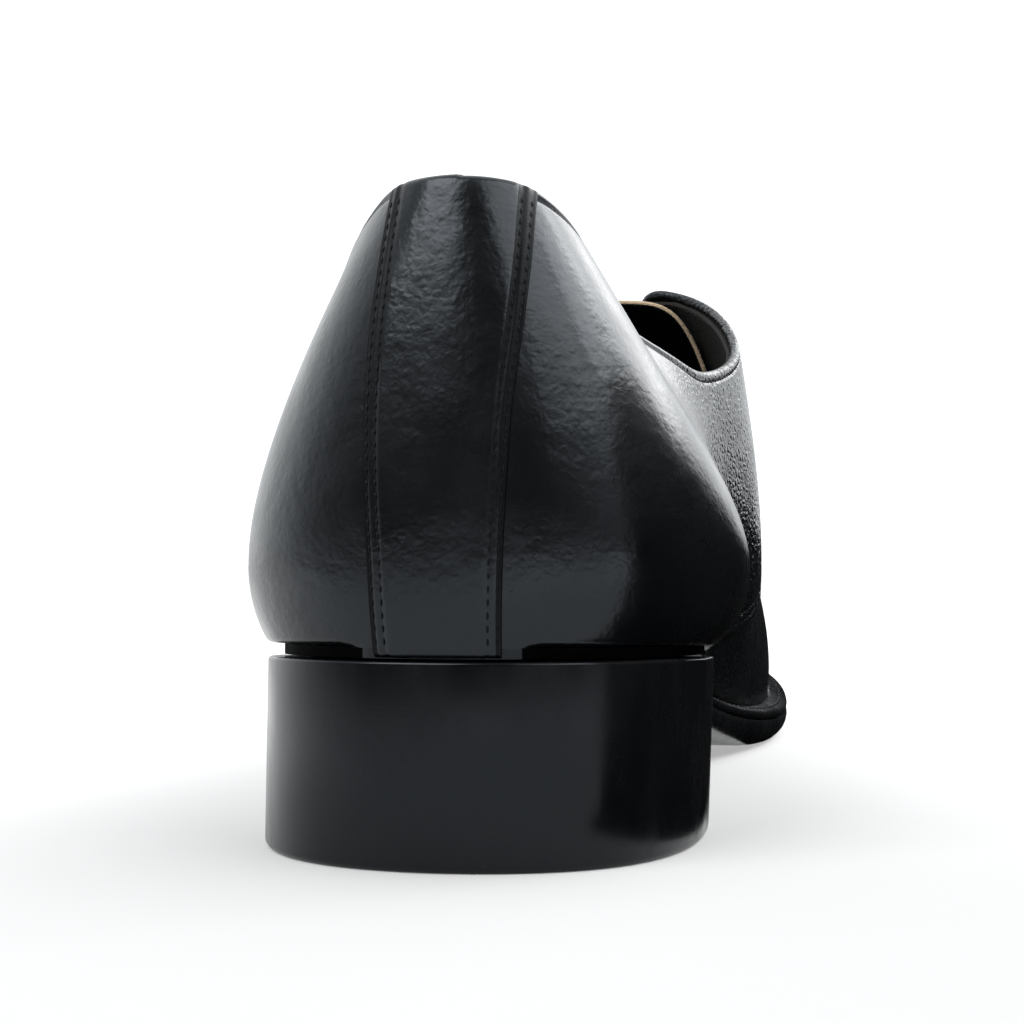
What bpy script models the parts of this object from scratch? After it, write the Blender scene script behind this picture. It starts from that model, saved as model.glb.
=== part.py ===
"""A left black leather derby service shoe, empty, standing on its sole.

One surface, the last, is worked out from a short table of sections. The hollow upper is cut from it
at the collar and the throat, and quarters, back strap, tongue and lace lie on it at other depths.
Metres, +Z up, toe towards +Y, inner (medial) side towards +X.
"""

import math
from collections import namedtuple

import bmesh
import bpy
import numpy as np
from mathutils import Vector

# Thicknesses, and the gap left between neighbours
GAP = 0.0003
UPPER_WALL = 0.0014
QUARTER_WALL = 0.0010
STRAP_WALL = 0.0007
TONGUE_WALL = 0.0016
TONGUE_GAP = 0.0014
OUTSOLE_THICKNESS = 0.0054
HEEL_SEAT_THICKNESS = 0.0014
WELT_THICKNESS = 0.0026
INSOLE_THICKNESS = 0.0025

# Sections of the last from the back of the heel to the tip of the toe.
# y, lateral, medial: the feather edge, where upper and sole meet, and its half widths
# feather: height of that edge
# ridge_x, ridge_y, ridge: top of the section; above the topline it only guides the walls
# lean_lateral, lean_medial, rise: powers of the arch, a large lean for a wall that falls in early
# swell_lateral, swell_medial, swell_height: bulge of the wall, and how far up it is fullest
# edge: how far the sole's edge stands out of the feather edge
Section = namedtuple(
    "Section",
    "y lateral medial feather ridge_x ridge_y ridge lean_lateral lean_medial rise"
    " swell_lateral swell_medial swell_height edge",
)
LAST = [
    Section(.0020, .0000, .0000, .0290, .0000, .0145, .1120, 2.20, 2.20, 1.00, .0010, .0010, .015, -.0012),
    Section(.0090, .0198, .0196, .0289, .0000, .0200, .1080, 1.78, 1.92, 1.00, .0026, .0032, .015, -.0012),
    Section(.0300, .0299, .0292, .0283, .0000, .0360, .1040, 1.66, 2.45, 1.00, .0040, .0055, .016, -.0012),
    Section(.0600, .0318, .0294, .0269, .0010, .0620, .1040, 1.42, 2.70, 1.00, .0040, .0064, .017, -.0006),
    Section(.0950, .0362, .0262, .0215, .0020, .0950, .1120, 1.25, 0.28, 0.99, .0030, .0026, .034, 0.0012),
    Section(.1300, .0430, .0270, .0148, .0030, .1300, .1080, 0.75, 0.25, 0.97, .0022, .0085, .036, 0.0018),
    Section(.1650, .0494, .0322, .0099, .0050, .1640, .0885, 0.85, 0.58, 0.95, .0012, .0032, .028, 0.0036),
    Section(.1950, .0514, .0358, .0084, .0060, .1920, .0725, 0.96, 0.88, 0.92, .0008, .0010, .018, 0.0045),
    Section(.2250, .0481, .0366, .0089, .0060, .2180, .0590, 0.94, 0.90, 0.88, .0005, .0006, .015, 0.0045),
    Section(.2530, .0385, .0343, .0110, .0060, .2400, .0508, 0.92, 0.88, 0.85, .0003, .0003, .015, 0.0045),
    Section(.2752, .0252, .0279, .0140, .0052, .2570, .0468, 0.88, 0.88, 0.84, .0002, .0002, .015, 0.0045),
    Section(.2882, .0112, .0184, .0165, .0046, .2660, .0450, 0.86, 0.86, 0.84, .0002, .0002, .015, 0.0045),
    Section(.2915, -.0040, .0040, .0172, .0040, .2690, .0443, 0.86, 0.86, 0.84, .0002, .0002, .015, 0.0045),
]
TOE = len(LAST) - 1
ROUND = 2 * TOE
HEEL_BREAST = 3

# Height of the collar's edge on each side, against the distance from the back
Collar = namedtuple("Collar", "y lateral medial")
COLLAR = [
    Collar(.000, .0925, .0925),
    Collar(.009, .0910, .0910),
    Collar(.017, .0868, .0868),
    Collar(.038, .0798, .0800),
    Collar(.065, .0735, .0748),
    Collar(.095, .0705, .0730),
    Collar(.125, .0778, .0808),
    Collar(.140, .0872, .0886),
    Collar(.155, .0962, .0962),
    Collar(.170, .1040, .1040),
]

# Half the gap between the two facings of the throat, against the distance from the back
Throat = namedtuple("Throat", "y half")
THROAT = [Throat(.140, .0080), Throat(.155, .0074), Throat(.180, .0062), Throat(.230, .0048)]
THROAT_END_Y = 0.2020
TAB_END_Y = 0.2125

# Front edge of each quarter seen from the side, from the waist up to the end of its lacing tab
SeamPoint = namedtuple("SeamPoint", "y z")
QUARTER_SEAM = [
    SeamPoint(.0700, .0100),
    SeamPoint(.0900, .0222),
    SeamPoint(.1300, .0275),
    SeamPoint(.1650, .0375),
    SeamPoint(.1880, .0480),
    SeamPoint(.2030, .0560),
    SeamPoint(.2100, .0620),
    SeamPoint(TAB_END_Y, .0690),
]

# Back strap seen from behind
STRAP_HALF_FOOT = 0.0085
STRAP_HALF_TOP = 0.0104

# Tongue, from its top edge down to under the vamp
TONGUE_TOP_Y = 0.1520
TONGUE_FOOT_Y = 0.2090
TONGUE_HALF_TOP = 0.0215
TONGUE_HALF_FOOT = 0.0200

# Lacing
EYELET_ROWS = 5
EYELET_FIRST_Y = 0.1600
EYELET_LAST_Y = 0.2000
EYELET_INSET = 0.0075
EYELET_RADIUS = 0.0019
PUNCH_DEPTH = 0.012
LACE_RADIUS = 0.0013

# Heel block, which stands a little out of the feather edge
HEEL_MARGIN = 0.0015
HEEL_EDGE_BEVEL = 0.0009
HEEL_BACK_PITCH = 0.0010
HEEL_LATERAL_FLARE = 0.0007
HEEL_MEDIAL_UNDERCUT = 0.0009

# Outsole: where it grows from the skived heel seat to its full thickness, and its edge as
# insets and shares of the thickness from the tread up
SOLE_GROWS_FROM_Y = 0.0615
SOLE_FULL_FROM_Y = 0.0800
EdgePoint = namedtuple("EdgePoint", "inset up")
SOLE_EDGE = [
    EdgePoint(.0050, 0.00),
    EdgePoint(.0022, 0.12),
    EdgePoint(.0006, 0.42),
    EdgePoint(.0000, 0.75),
    EdgePoint(.0003, 1.00),
]

# Welt: reach under the upper, and its cross section as shares of width and thickness
WELT_START = 3.5
WELT_INNER_REACH = 0.0060
WELT_SECTION = [(0.0, 0.0), (1.0, 0.0), (1.0, 0.65), (0.93, 1.0), (0.0, 1.0)]

# Mesh density
STEPS_PER_SECTION = 4
CORNER_FROM = 5.25
CORNER_TO = 6.25
WALL_ROWS = 10
TONGUE_ROWS = 8
TONGUE_STEPS = 12
LACE_STEPS = 6
PUNCH_SIDES = 8
EDGE_SAMPLES = 800
CUTTER_REACH = 0.09

MATERIALS = {
    "leather": ((0.012, 0.013, 0.015, 1.0), 0.38),
    "lining": ((0.030, 0.027, 0.024, 1.0), 0.80),
    "sole": ((0.010, 0.010, 0.011, 1.0), 0.35),
    "lace": ((0.012, 0.012, 0.013, 1.0), 0.70),
}


# The last


def loop_of(lateral, medial):
    """Two columns of LAST as one loop: back of the heel, lateral side, toe, medial side."""
    left = [getattr(row, lateral) for row in LAST]
    right = [getattr(row, medial) for row in LAST]
    return np.array(left + right[-2:0:-1])


def closed_spline(values, places):
    """A periodic cubic through the values at whole-number places, read at the given places."""
    count = len(values)
    neighbours = np.roll(np.eye(count), 1, 0) + np.roll(np.eye(count), -1, 0)
    second = np.roll(values, -1) - 2 * values + np.roll(values, 1)
    bend = np.linalg.solve(4 * np.eye(count) + neighbours, 6 * second)
    start = np.floor(places).astype(int)
    t = places - start
    a = start % count
    b = (start + 1) % count
    straight = (1 - t) * values[a] + t * values[b]
    return straight + ((1 - t) ** 3 - (1 - t)) * bend[a] / 6 + (t**3 - t) * bend[b] / 6


def column(name, places):
    """A column of LAST at places round the shoe; swell and lean have one column for each side."""
    if name in ("swell", "lean"):
        return closed_spline(loop_of(name + "_lateral", name + "_medial"), places)
    return closed_spline(loop_of(name, name), places)


def feather_edge(places):
    """Plan of the feather edge and its outward direction at places round the shoe."""
    x_loop = loop_of("lateral", "medial")
    x_loop[: TOE + 1] *= -1
    y_loop = loop_of("y", "y")
    step = 0.01
    along_x = closed_spline(x_loop, places + step) - closed_spline(x_loop, places - step)
    along_y = closed_spline(y_loop, places + step) - closed_spline(y_loop, places - step)
    length = np.hypot(along_x, along_y)
    x = closed_spline(x_loop, places)
    y = closed_spline(y_loop, places)
    return x, y, -along_y / length, along_x / length


def last_point(places, share):
    """A point of the last: share 0 is on the feather edge and share 1 on the ridge, where no swell is left."""
    x, y, out_x, out_y = feather_edge(places)
    low = feather_height(y)
    share = np.clip(share, 0.0, 1.0)
    angle = share * math.pi / 2
    across = 1 - np.cos(angle) ** column("lean", places)
    height = (column("ridge", places) - low) * np.sin(angle) ** column("rise", places)
    relative = height / column("swell_height", places)
    swell = column("swell", places) * relative * np.exp(1 - relative) * (1 - share**8)
    inwards_x = (column("ridge_x", places) - x) * across
    inwards_y = (column("ridge_y", places) - y) * across
    return np.stack([x + inwards_x + out_x * swell, y + inwards_y + out_y * swell, low + height], axis=-1)


def feather_height(y):
    return smooth_table(y, [row.y for row in LAST], [row.feather for row in LAST])


def last_normal(places, share):
    step = 0.004
    inner = np.clip(share, step, 1 - 2 * step)
    up = last_point(places, inner + step) - last_point(places, inner - step)
    along = last_point(places + step, inner) - last_point(places - step, inner)
    normal = np.cross(up, along)
    return normal / np.linalg.norm(normal, axis=-1, keepdims=True)


def lifted(places, share, lift):
    """A point of the last moved out along its normal."""
    if lift == 0:
        return last_point(places, share)
    return last_point(places, share) + last_normal(places, share) * lift


def smooth_table(at, keys, values):
    """A smooth curve through a short table, with slopes from each key's neighbours, straight beyond it."""
    keys = np.array(keys)
    values = np.array(values)
    slopes = np.gradient(values, keys)
    inside = np.clip(at, keys[0], keys[-1])
    start = np.clip(np.searchsorted(keys, inside) - 1, 0, len(keys) - 2)
    span = keys[start + 1] - keys[start]
    t = (inside - keys[start]) / span
    near = (1 + 2 * t) * (1 - t) ** 2 * values[start] + t * (1 - t) ** 2 * span * slopes[start]
    far = t**2 * (3 - 2 * t) * values[start + 1] + t**2 * (t - 1) * span * slopes[start + 1]
    beyond = at - inside
    return near + far + beyond * np.where(beyond < 0, slopes[0], slopes[-1])


def throat_half(y):
    return smooth_table(y, [row.y for row in THROAT], [row.half for row in THROAT])


def edge_share(places, throat_end):
    """Share of the arch at which the collar or the throat cuts each section, 1 where neither does."""
    samples = np.linspace(0.02, 1.0, EDGE_SAMPLES)
    around, share = np.meshgrid(places, samples, indexing="ij")
    x, y, z = np.moveaxis(last_point(around, share), -1, 0)
    keys = [row.y for row in COLLAR]
    lateral = smooth_table(y, keys, [row.lateral for row in COLLAR])
    medial = smooth_table(y, keys, [row.medial for row in COLLAR])
    above_collar = z - np.where(around % ROUND < TOE, lateral, medial)
    above_collar[y > keys[-1]] = -1
    in_throat = throat_half(y) - np.abs(x - column("ridge_x", around))
    in_throat[(y < THROAT[0].y) | (y > throat_end)] = -1
    opening = np.maximum(above_collar, in_throat)
    is_cut = (opening > 0).any(axis=1)
    first = np.argmax(opening > 0, axis=1)
    row = np.arange(len(places))
    past = opening[row, first]
    climb = np.where(is_cut, past - opening[row, first - 1], 1.0)
    crossing = samples[first] - (samples[1] - samples[0]) * past / climb
    return np.where(is_cut, crossing, 1.0)


def sole_places():
    """Places of the sole's columns all round the shoe."""
    return np.arange(0, ROUND, 1 / STEPS_PER_SECTION)


def upper_places():
    """The same places for the upper, with more of them at the corners of the facings."""
    step = 1 / STEPS_PER_SECTION
    between = np.arange(CORNER_FROM, CORNER_TO, step) + step / 2
    return np.sort(np.concatenate([sole_places(), between, ROUND - between]))


# Meshes


def mesh_object(name, points, faces):
    """A smooth-shaded mesh from a grid, with its doubled points merged."""
    mesh = bpy.data.meshes.new(name)
    mesh.from_pydata(points.reshape(-1, 3).tolist(), [], faces)
    work = bmesh.new()
    work.from_mesh(mesh)
    bmesh.ops.remove_doubles(work, verts=work.verts, dist=0.00002)
    work.to_mesh(mesh)
    work.free()
    mesh.shade_smooth()
    mesh.set_sharp_from_angle(angle=math.radians(40))
    return bpy.data.objects.new(name, mesh)


def face_out(mesh):
    work = bmesh.new()
    work.from_mesh(mesh)
    bmesh.ops.recalc_face_normals(work, faces=work.faces)
    work.to_mesh(mesh)
    work.free()


def grid_faces(columns, rows, closed=False):
    """Triangles of a grid stored column by column; a closed grid joins its last column to its first."""
    faces = []
    for i in range(columns if closed else columns - 1):
        j = (i + 1) % columns
        for k in range(rows - 1):
            a, b, c, d = i * rows + k, i * rows + k + 1, j * rows + k + 1, j * rows + k
            faces += [(a, b, c), (a, c, d)]
    return faces


def add_wall(obj, thickness, outwards):
    modifier = obj.modifiers.new("wall", "SOLIDIFY")
    modifier.thickness = thickness
    modifier.offset = 1.0 if outwards else -1.0
    modifier.use_even_offset = True


def add_cut(obj, cutter, operation):
    modifier = obj.modifiers.new(cutter.name, "BOOLEAN")
    modifier.operation = operation
    modifier.object = cutter


def keep_as_cutter(cutter, cutters):
    cutters.objects.link(cutter)
    cutter.hide_render = True
    cutter.display_type = "WIRE"
    return cutter


def outline_cutter(name, outline, along_x, cutters):
    """A flat outline of (across, up) points pushed through the shoe from side to side or lengthwise."""
    curve = bpy.data.curves.new(name, "CURVE")
    curve.dimensions = "2D"
    curve.fill_mode = "BOTH"
    curve.extrude = CUTTER_REACH
    spline = curve.splines.new("POLY")
    spline.points.add(len(outline) - 1)
    for point, (across, up) in zip(spline.points, outline):
        point.co = (across, up, 0.0, 1.0)
    spline.use_cyclic_u = True
    guide = bpy.data.objects.new(name + "_outline", curve)
    guide.rotation_euler = (math.pi / 2, 0.0, math.pi / 2 if along_x else 0.0)
    cutters.objects.link(guide)
    bpy.context.view_layer.update()
    seen = guide.evaluated_get(bpy.context.evaluated_depsgraph_get())
    mesh = bpy.data.meshes.new_from_object(seen)
    work = bmesh.new()
    work.from_mesh(mesh)
    bmesh.ops.remove_doubles(work, verts=work.verts, dist=0.00001)
    bmesh.ops.recalc_face_normals(work, faces=work.faces)
    work.to_mesh(mesh)
    work.free()
    cutter = bpy.data.objects.new(name, mesh)
    cutter.matrix_world = guide.matrix_world
    bpy.data.objects.remove(guide)
    return keep_as_cutter(cutter, cutters)


# Sole


def grown_share(y):
    """0 over the heel seat and 1 where outsole and welt have their full thickness."""
    t = np.clip((y - SOLE_GROWS_FROM_Y) / (SOLE_FULL_FROM_Y - SOLE_GROWS_FROM_Y), 0, 1)
    return t * t * (3 - 2 * t)


def sole_top(y):
    return feather_height(y) - GAP - grown_share(y) * (WELT_THICKNESS + GAP)


def sole_under(y):
    thickness = HEEL_SEAT_THICKNESS + grown_share(y) * (OUTSOLE_THICKNESS - HEEL_SEAT_THICKNESS)
    return np.maximum(0.0, sole_top(y) - thickness)


def ring(places, margin, level):
    """A ring round the shoe, a margin out of the feather edge, at a height worked out from y."""
    x, y, out_x, out_y = feather_edge(places)
    x = x + out_x * margin
    y = y + out_y * margin
    return np.stack([x, y, level(y)], axis=-1)


def capped_plate(name, rings, first_partner):
    """A closed plate between rings, capped by rungs from each point to its partner across the shoe."""
    count = len(rings[0])
    rows = len(rings)
    faces = grid_faces(count, rows, closed=True)
    for row in (0, rows - 1):
        for i in range(count // 2):
            rung = [i, i + 1, (first_partner - i - 1) % count, (first_partner - i) % count]
            faces.append([index * rows + row for index in dict.fromkeys(rung)])
    made = mesh_object(name, np.stack(rings, axis=1), faces)
    face_out(made.data)
    return made


def make_outsole():
    """Full at forefoot and waist with a rounded lower edge, thin and set in over the heel."""
    places = sole_places()
    edge = column("edge", places)
    roundness = grown_share(feather_edge(places)[1])
    rings = []
    for point in SOLE_EDGE:

        def level(y, up=point.up):
            return sole_under(y) + (sole_top(y) - sole_under(y)) * up

        rings.append(ring(places, edge - point.inset * roundness, level))
    return capped_plate("outsole", rings, 0)


def make_insole():
    places = sole_places()
    inset = -(UPPER_WALL + 2 * GAP)
    under = ring(places, inset, feather_height)
    rings = [under, under + (0, 0, INSOLE_THICKNESS)]
    return capped_plate("insole", rings, 0)


def make_heel():
    """A solid block under the heel seat, with a straight breast and a small lower bevel."""
    places = np.linspace(-HEEL_BREAST, HEEL_BREAST, 2 * HEEL_BREAST * STEPS_PER_SECTION + 1)
    x, _, _, out_y = feather_edge(places)
    side = x / LAST[HEEL_BREAST].lateral
    foot = np.where(side < 0, -side * HEEL_LATERAL_FLARE, -side * HEEL_MEDIAL_UNDERCUT)
    foot = HEEL_MARGIN + foot - HEEL_BACK_PITCH * np.clip(-out_y, 0, 1)
    rings = [
        ring(places, foot - HEEL_EDGE_BEVEL, np.zeros_like),
        ring(places, foot, lambda y: np.full_like(y, HEEL_EDGE_BEVEL)),
        ring(places, HEEL_MARGIN, lambda y: sole_under(y) - GAP),
    ]
    return capped_plate("heel_block", rings, len(places) - 1)


def make_welt():
    """A flat strip between upper and outsole, from breast to breast round the toe."""
    places = sole_places()
    places = places[(places >= WELT_START) & (places <= ROUND - WELT_START)]
    count = len(places)
    width = column("edge", places) + WELT_INNER_REACH
    rings = []
    for out, up in WELT_SECTION:

        def level(y, up=up):
            low = sole_top(y) + GAP
            return low + (feather_height(y) - GAP - low) * up

        rings.append(ring(places, width * out - WELT_INNER_REACH, level))
    rows = len(rings)
    faces = []
    for i in range(count - 1):
        for k in range(rows):
            m = (k + 1) % rows
            faces.append((i * rows + k, i * rows + m, (i + 1) * rows + m, (i + 1) * rows + k))
    faces.append(range(rows))
    faces.append(range((count - 1) * rows, count * rows))
    made = mesh_object("welt", np.stack(rings, axis=1), faces)
    face_out(made.data)
    return made


# Upper


def wall_grid(places, throat_end, lift):
    """Grid of the last from the feather edge up to the collar, the throat or the ridge."""
    shares = edge_share(places, throat_end)[:, None] * np.linspace(0, 1, WALL_ROWS + 1)
    around = np.repeat(places[:, None], WALL_ROWS + 1, axis=1)
    return lifted(around, shares, lift)


def make_upper():
    """The hollow shell: vamp in front, and what backs the quarters behind."""
    places = upper_places()
    faces = grid_faces(len(places), WALL_ROWS + 1, closed=True)
    made = mesh_object("upper", wall_grid(places, THROAT_END_Y, 0.0), faces)
    add_wall(made, UPPER_WALL, outwards=False)
    return made


def make_quarter(name, first, last, back, seam_knife):
    """One side's quarter with its lacing tab, a larger sheet cut off along its front edge."""
    places = np.append(upper_places(), ROUND)
    places = places[(places >= first) & (places <= last)]
    points = wall_grid(places, LAST[-1].y, GAP)
    side = 1 if back else -1
    points[back, :, 0] += side * GAP
    made = mesh_object(name, points, grid_faces(len(places), WALL_ROWS + 1))
    add_wall(made, QUARTER_WALL, outwards=True)
    add_cut(made, seam_knife, "DIFFERENCE")
    return made


def make_back_strap(strap_knife):
    """The strip over the join of the quarters, cut to its width from a wider sheet."""
    reach = STEPS_PER_SECTION + 1
    places = np.arange(-reach, reach + 1) / STEPS_PER_SECTION
    points = wall_grid(places, THROAT_END_Y, 2 * GAP + QUARTER_WALL)
    made = mesh_object("back_strap", points, grid_faces(len(places), WALL_ROWS + 1))
    add_wall(made, STRAP_WALL, outwards=True)
    add_cut(made, strap_knife, "INTERSECT")
    return made


def place_at(y):
    """Place on the lateral side whose ridge stands at this distance from the back."""
    places = np.linspace(0, TOE, EDGE_SAMPLES)
    return np.interp(y, column("ridge_y", places), places)


def over_instep(places, across, lift):
    """Points over the instep: across is 0 on the ridge, negative lateral, positive medial."""
    around = np.where(across <= 0, places, ROUND - places)
    return lifted(around, 1 - np.abs(across), lift)


def across_at(y, side, away):
    """How far across the instep a point lies that is a given distance from the ridge, seen from above."""
    across = np.linspace(0.0, 0.7, EDGE_SAMPLES)
    places = np.full_like(across, place_at(y))
    distance = np.abs(over_instep(places, side * across, 0.0)[:, 0] - column("ridge_x", places))
    return side * np.interp(away, distance, across)


def make_tongue():
    """A sheet over the instep, under the facings and a little higher than they are."""
    rows = []
    for down in np.linspace(0, 1, TONGUE_ROWS + 1):
        y = TONGUE_TOP_Y + (TONGUE_FOOT_Y - TONGUE_TOP_Y) * down
        half = TONGUE_HALF_TOP + (TONGUE_HALF_FOOT - TONGUE_HALF_TOP) * down
        across = np.linspace(across_at(y, -1, half), across_at(y, 1, half), TONGUE_STEPS + 1)
        rows.append(over_instep(np.full_like(across, place_at(y)), across, -(UPPER_WALL + TONGUE_GAP)))
    made = mesh_object("tongue", np.stack(rows), grid_faces(TONGUE_ROWS + 1, TONGUE_STEPS + 1))
    add_wall(made, TONGUE_WALL, outwards=False)
    return made


# Lacing


def eyelet_rows():
    return np.linspace(EYELET_FIRST_Y, EYELET_LAST_Y, EYELET_ROWS)


def eyelet_across(y, side):
    return across_at(y, side, throat_half(y) + EYELET_INSET)


def make_lace_bar(index, y):
    """One bar of the lace, a cord over the tongue from eyelet to eyelet."""
    across = np.linspace(eyelet_across(y, -1), eyelet_across(y, 1), LACE_STEPS + 1)
    lift = 2 * GAP + QUARTER_WALL + LACE_RADIUS
    route = over_instep(np.full_like(across, place_at(y)), across, lift)
    name = f"lace_bar_{index}"
    curve = bpy.data.curves.new(name, "CURVE")
    curve.dimensions = "3D"
    curve.bevel_depth = LACE_RADIUS
    curve.bevel_resolution = 2
    curve.use_fill_caps = True
    spline = curve.splines.new("POLY")
    spline.points.add(LACE_STEPS)
    for point, place in zip(spline.points, route):
        point.co = (*place, 1.0)
    return bpy.data.objects.new(name, curve)


def make_eyelet_punches(cutters):
    """Pins square to the leather at every eyelet, as one cutter."""
    work = bmesh.new()
    for y in eyelet_rows():
        for side in (-1, 1):
            across = np.array(eyelet_across(y, side))
            place = np.array(place_at(y))
            centre = over_instep(place, across, 0.0)
            upwards = Vector(over_instep(place, across, 1.0) - centre)
            pin = bmesh.ops.create_cone(
                work,
                cap_ends=True,
                segments=PUNCH_SIDES,
                radius1=EYELET_RADIUS,
                radius2=EYELET_RADIUS,
                depth=PUNCH_DEPTH,
            )
            turn = upwards.to_track_quat("Z", "Y").to_matrix().to_4x4()
            bmesh.ops.transform(work, matrix=turn, verts=pin["verts"])
            bmesh.ops.translate(work, vec=Vector(centre), verts=pin["verts"])
    mesh = bpy.data.meshes.new("eyelet_punches")
    work.to_mesh(mesh)
    work.free()
    return keep_as_cutter(bpy.data.objects.new("eyelet_punches", mesh), cutters)


# Knives


def seam_outline():
    """All that lies below and in front of the quarters' front edge, seen from the side."""
    keys = [point.y for point in QUARTER_SEAM]
    y = np.linspace(keys[0], keys[-1], 40)
    z = smooth_table(y, keys, [point.z for point in QUARTER_SEAM])
    ahead = LAST[-1].y + 0.02
    above = COLLAR[-1].medial + 0.02
    corners = [(keys[-1], above), (ahead, above), (ahead, 0.0), (keys[0], 0.0)]
    return list(zip(y.tolist(), z.tolist())) + corners


def strap_outline():
    foot = LAST[0].feather - 0.01
    top = COLLAR[0].medial + 0.01
    return [(-STRAP_HALF_FOOT, foot), (STRAP_HALF_FOOT, foot), (STRAP_HALF_TOP, top), (-STRAP_HALF_TOP, top)]


# Assembly


def make_material(name):
    colour, roughness = MATERIALS[name]
    material = bpy.data.materials.new(name)
    material.use_nodes = True
    shader = material.node_tree.nodes["Principled BSDF"]
    shader.inputs["Base Color"].default_value = colour
    shader.inputs["Roughness"].default_value = roughness
    shader.inputs["Metallic"].default_value = 0.0
    return material


def hang_on_root(parts, cutters, collection):
    """Hangs every piece on one empty that puts the origin under the middle of the shoe's box."""
    bpy.context.view_layer.update()
    graph = bpy.context.evaluated_depsgraph_get()
    solid_parts = [part.evaluated_get(graph) for part in parts if part.type == "MESH"]
    corners = np.array([corner for part in solid_parts for corner in part.bound_box])
    low = corners.min(axis=0)
    high = corners.max(axis=0)
    root = bpy.data.objects.new("shoe", None)
    root.location = (-(low[0] + high[0]) / 2, -(low[1] + high[1]) / 2, -low[2])
    collection.objects.link(root)
    for piece in parts + cutters:
        piece.parent = root


def main():
    for old in list(bpy.data.objects):
        bpy.data.objects.remove(old)
    shoe = bpy.data.collections.new("service_shoe")
    cutters = bpy.data.collections.new("cutters")
    bpy.context.scene.collection.children.link(shoe)
    bpy.context.scene.collection.children.link(cutters)

    seam_knife = outline_cutter("seam_knife", seam_outline(), True, cutters)
    strap_knife = outline_cutter("strap_knife", strap_outline(), False, cutters)
    punches = make_eyelet_punches(cutters)
    upper = make_upper()
    quarter_reach = LAST.index(next(row for row in LAST if row.y > TAB_END_Y))
    lateral = make_quarter("quarter_lateral", 0, quarter_reach, 0, seam_knife)
    medial = make_quarter("quarter_medial", ROUND - quarter_reach, ROUND, -1, seam_knife)
    for piece in (upper, lateral, medial):
        add_cut(piece, punches, "DIFFERENCE")

    finishes = {
        "sole": [make_outsole(), make_heel(), make_welt()],
        "lining": [make_insole()],
        "leather": [upper, lateral, medial, make_back_strap(strap_knife), make_tongue()],
        "lace": [make_lace_bar(index, y) for index, y in enumerate(eyelet_rows(), start=1)],
    }
    parts = []
    for finish, pieces in finishes.items():
        material = make_material(finish)
        for piece in pieces:
            piece.data.materials.append(material)
            shoe.objects.link(piece)
            parts.append(piece)
    hang_on_root(parts, list(cutters.objects), shoe)


main()
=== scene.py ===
"""Looks of a left derby service shoe in black leather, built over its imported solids.

Shapes are worked out in the last's own coordinates: metres from the back of the heel, toe towards +Y, inner
side of the foot towards +X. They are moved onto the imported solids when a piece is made.
"""

import math
from collections import namedtuple

import bmesh
import bpy
import numpy as np
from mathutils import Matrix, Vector


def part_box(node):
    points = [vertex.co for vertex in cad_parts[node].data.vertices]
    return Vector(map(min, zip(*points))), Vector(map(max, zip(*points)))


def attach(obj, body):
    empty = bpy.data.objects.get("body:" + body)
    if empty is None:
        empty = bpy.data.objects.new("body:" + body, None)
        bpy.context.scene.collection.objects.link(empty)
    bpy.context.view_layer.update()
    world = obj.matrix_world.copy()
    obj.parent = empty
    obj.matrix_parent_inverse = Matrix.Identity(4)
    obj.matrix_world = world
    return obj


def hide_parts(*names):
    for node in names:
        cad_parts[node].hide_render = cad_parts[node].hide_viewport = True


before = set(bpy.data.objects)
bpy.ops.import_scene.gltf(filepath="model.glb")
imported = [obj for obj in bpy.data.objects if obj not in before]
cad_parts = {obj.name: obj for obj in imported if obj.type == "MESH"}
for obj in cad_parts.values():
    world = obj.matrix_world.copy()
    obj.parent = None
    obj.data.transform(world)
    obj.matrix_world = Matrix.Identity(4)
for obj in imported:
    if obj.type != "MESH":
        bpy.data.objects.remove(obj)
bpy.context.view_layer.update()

# The last
# The wooden form that the leather is pulled over and the sole is shaped to. Nothing of it shows, but every
# piece is this one surface at its own depth. Each row is a cross section, from the heel's back to the toe.
Section = namedtuple(
    "Section",
    "y lateral medial feather ridge_x ridge_y ridge lean_lateral lean_medial rise"
    " swell_lateral swell_medial swell_height edge",
)
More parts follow.
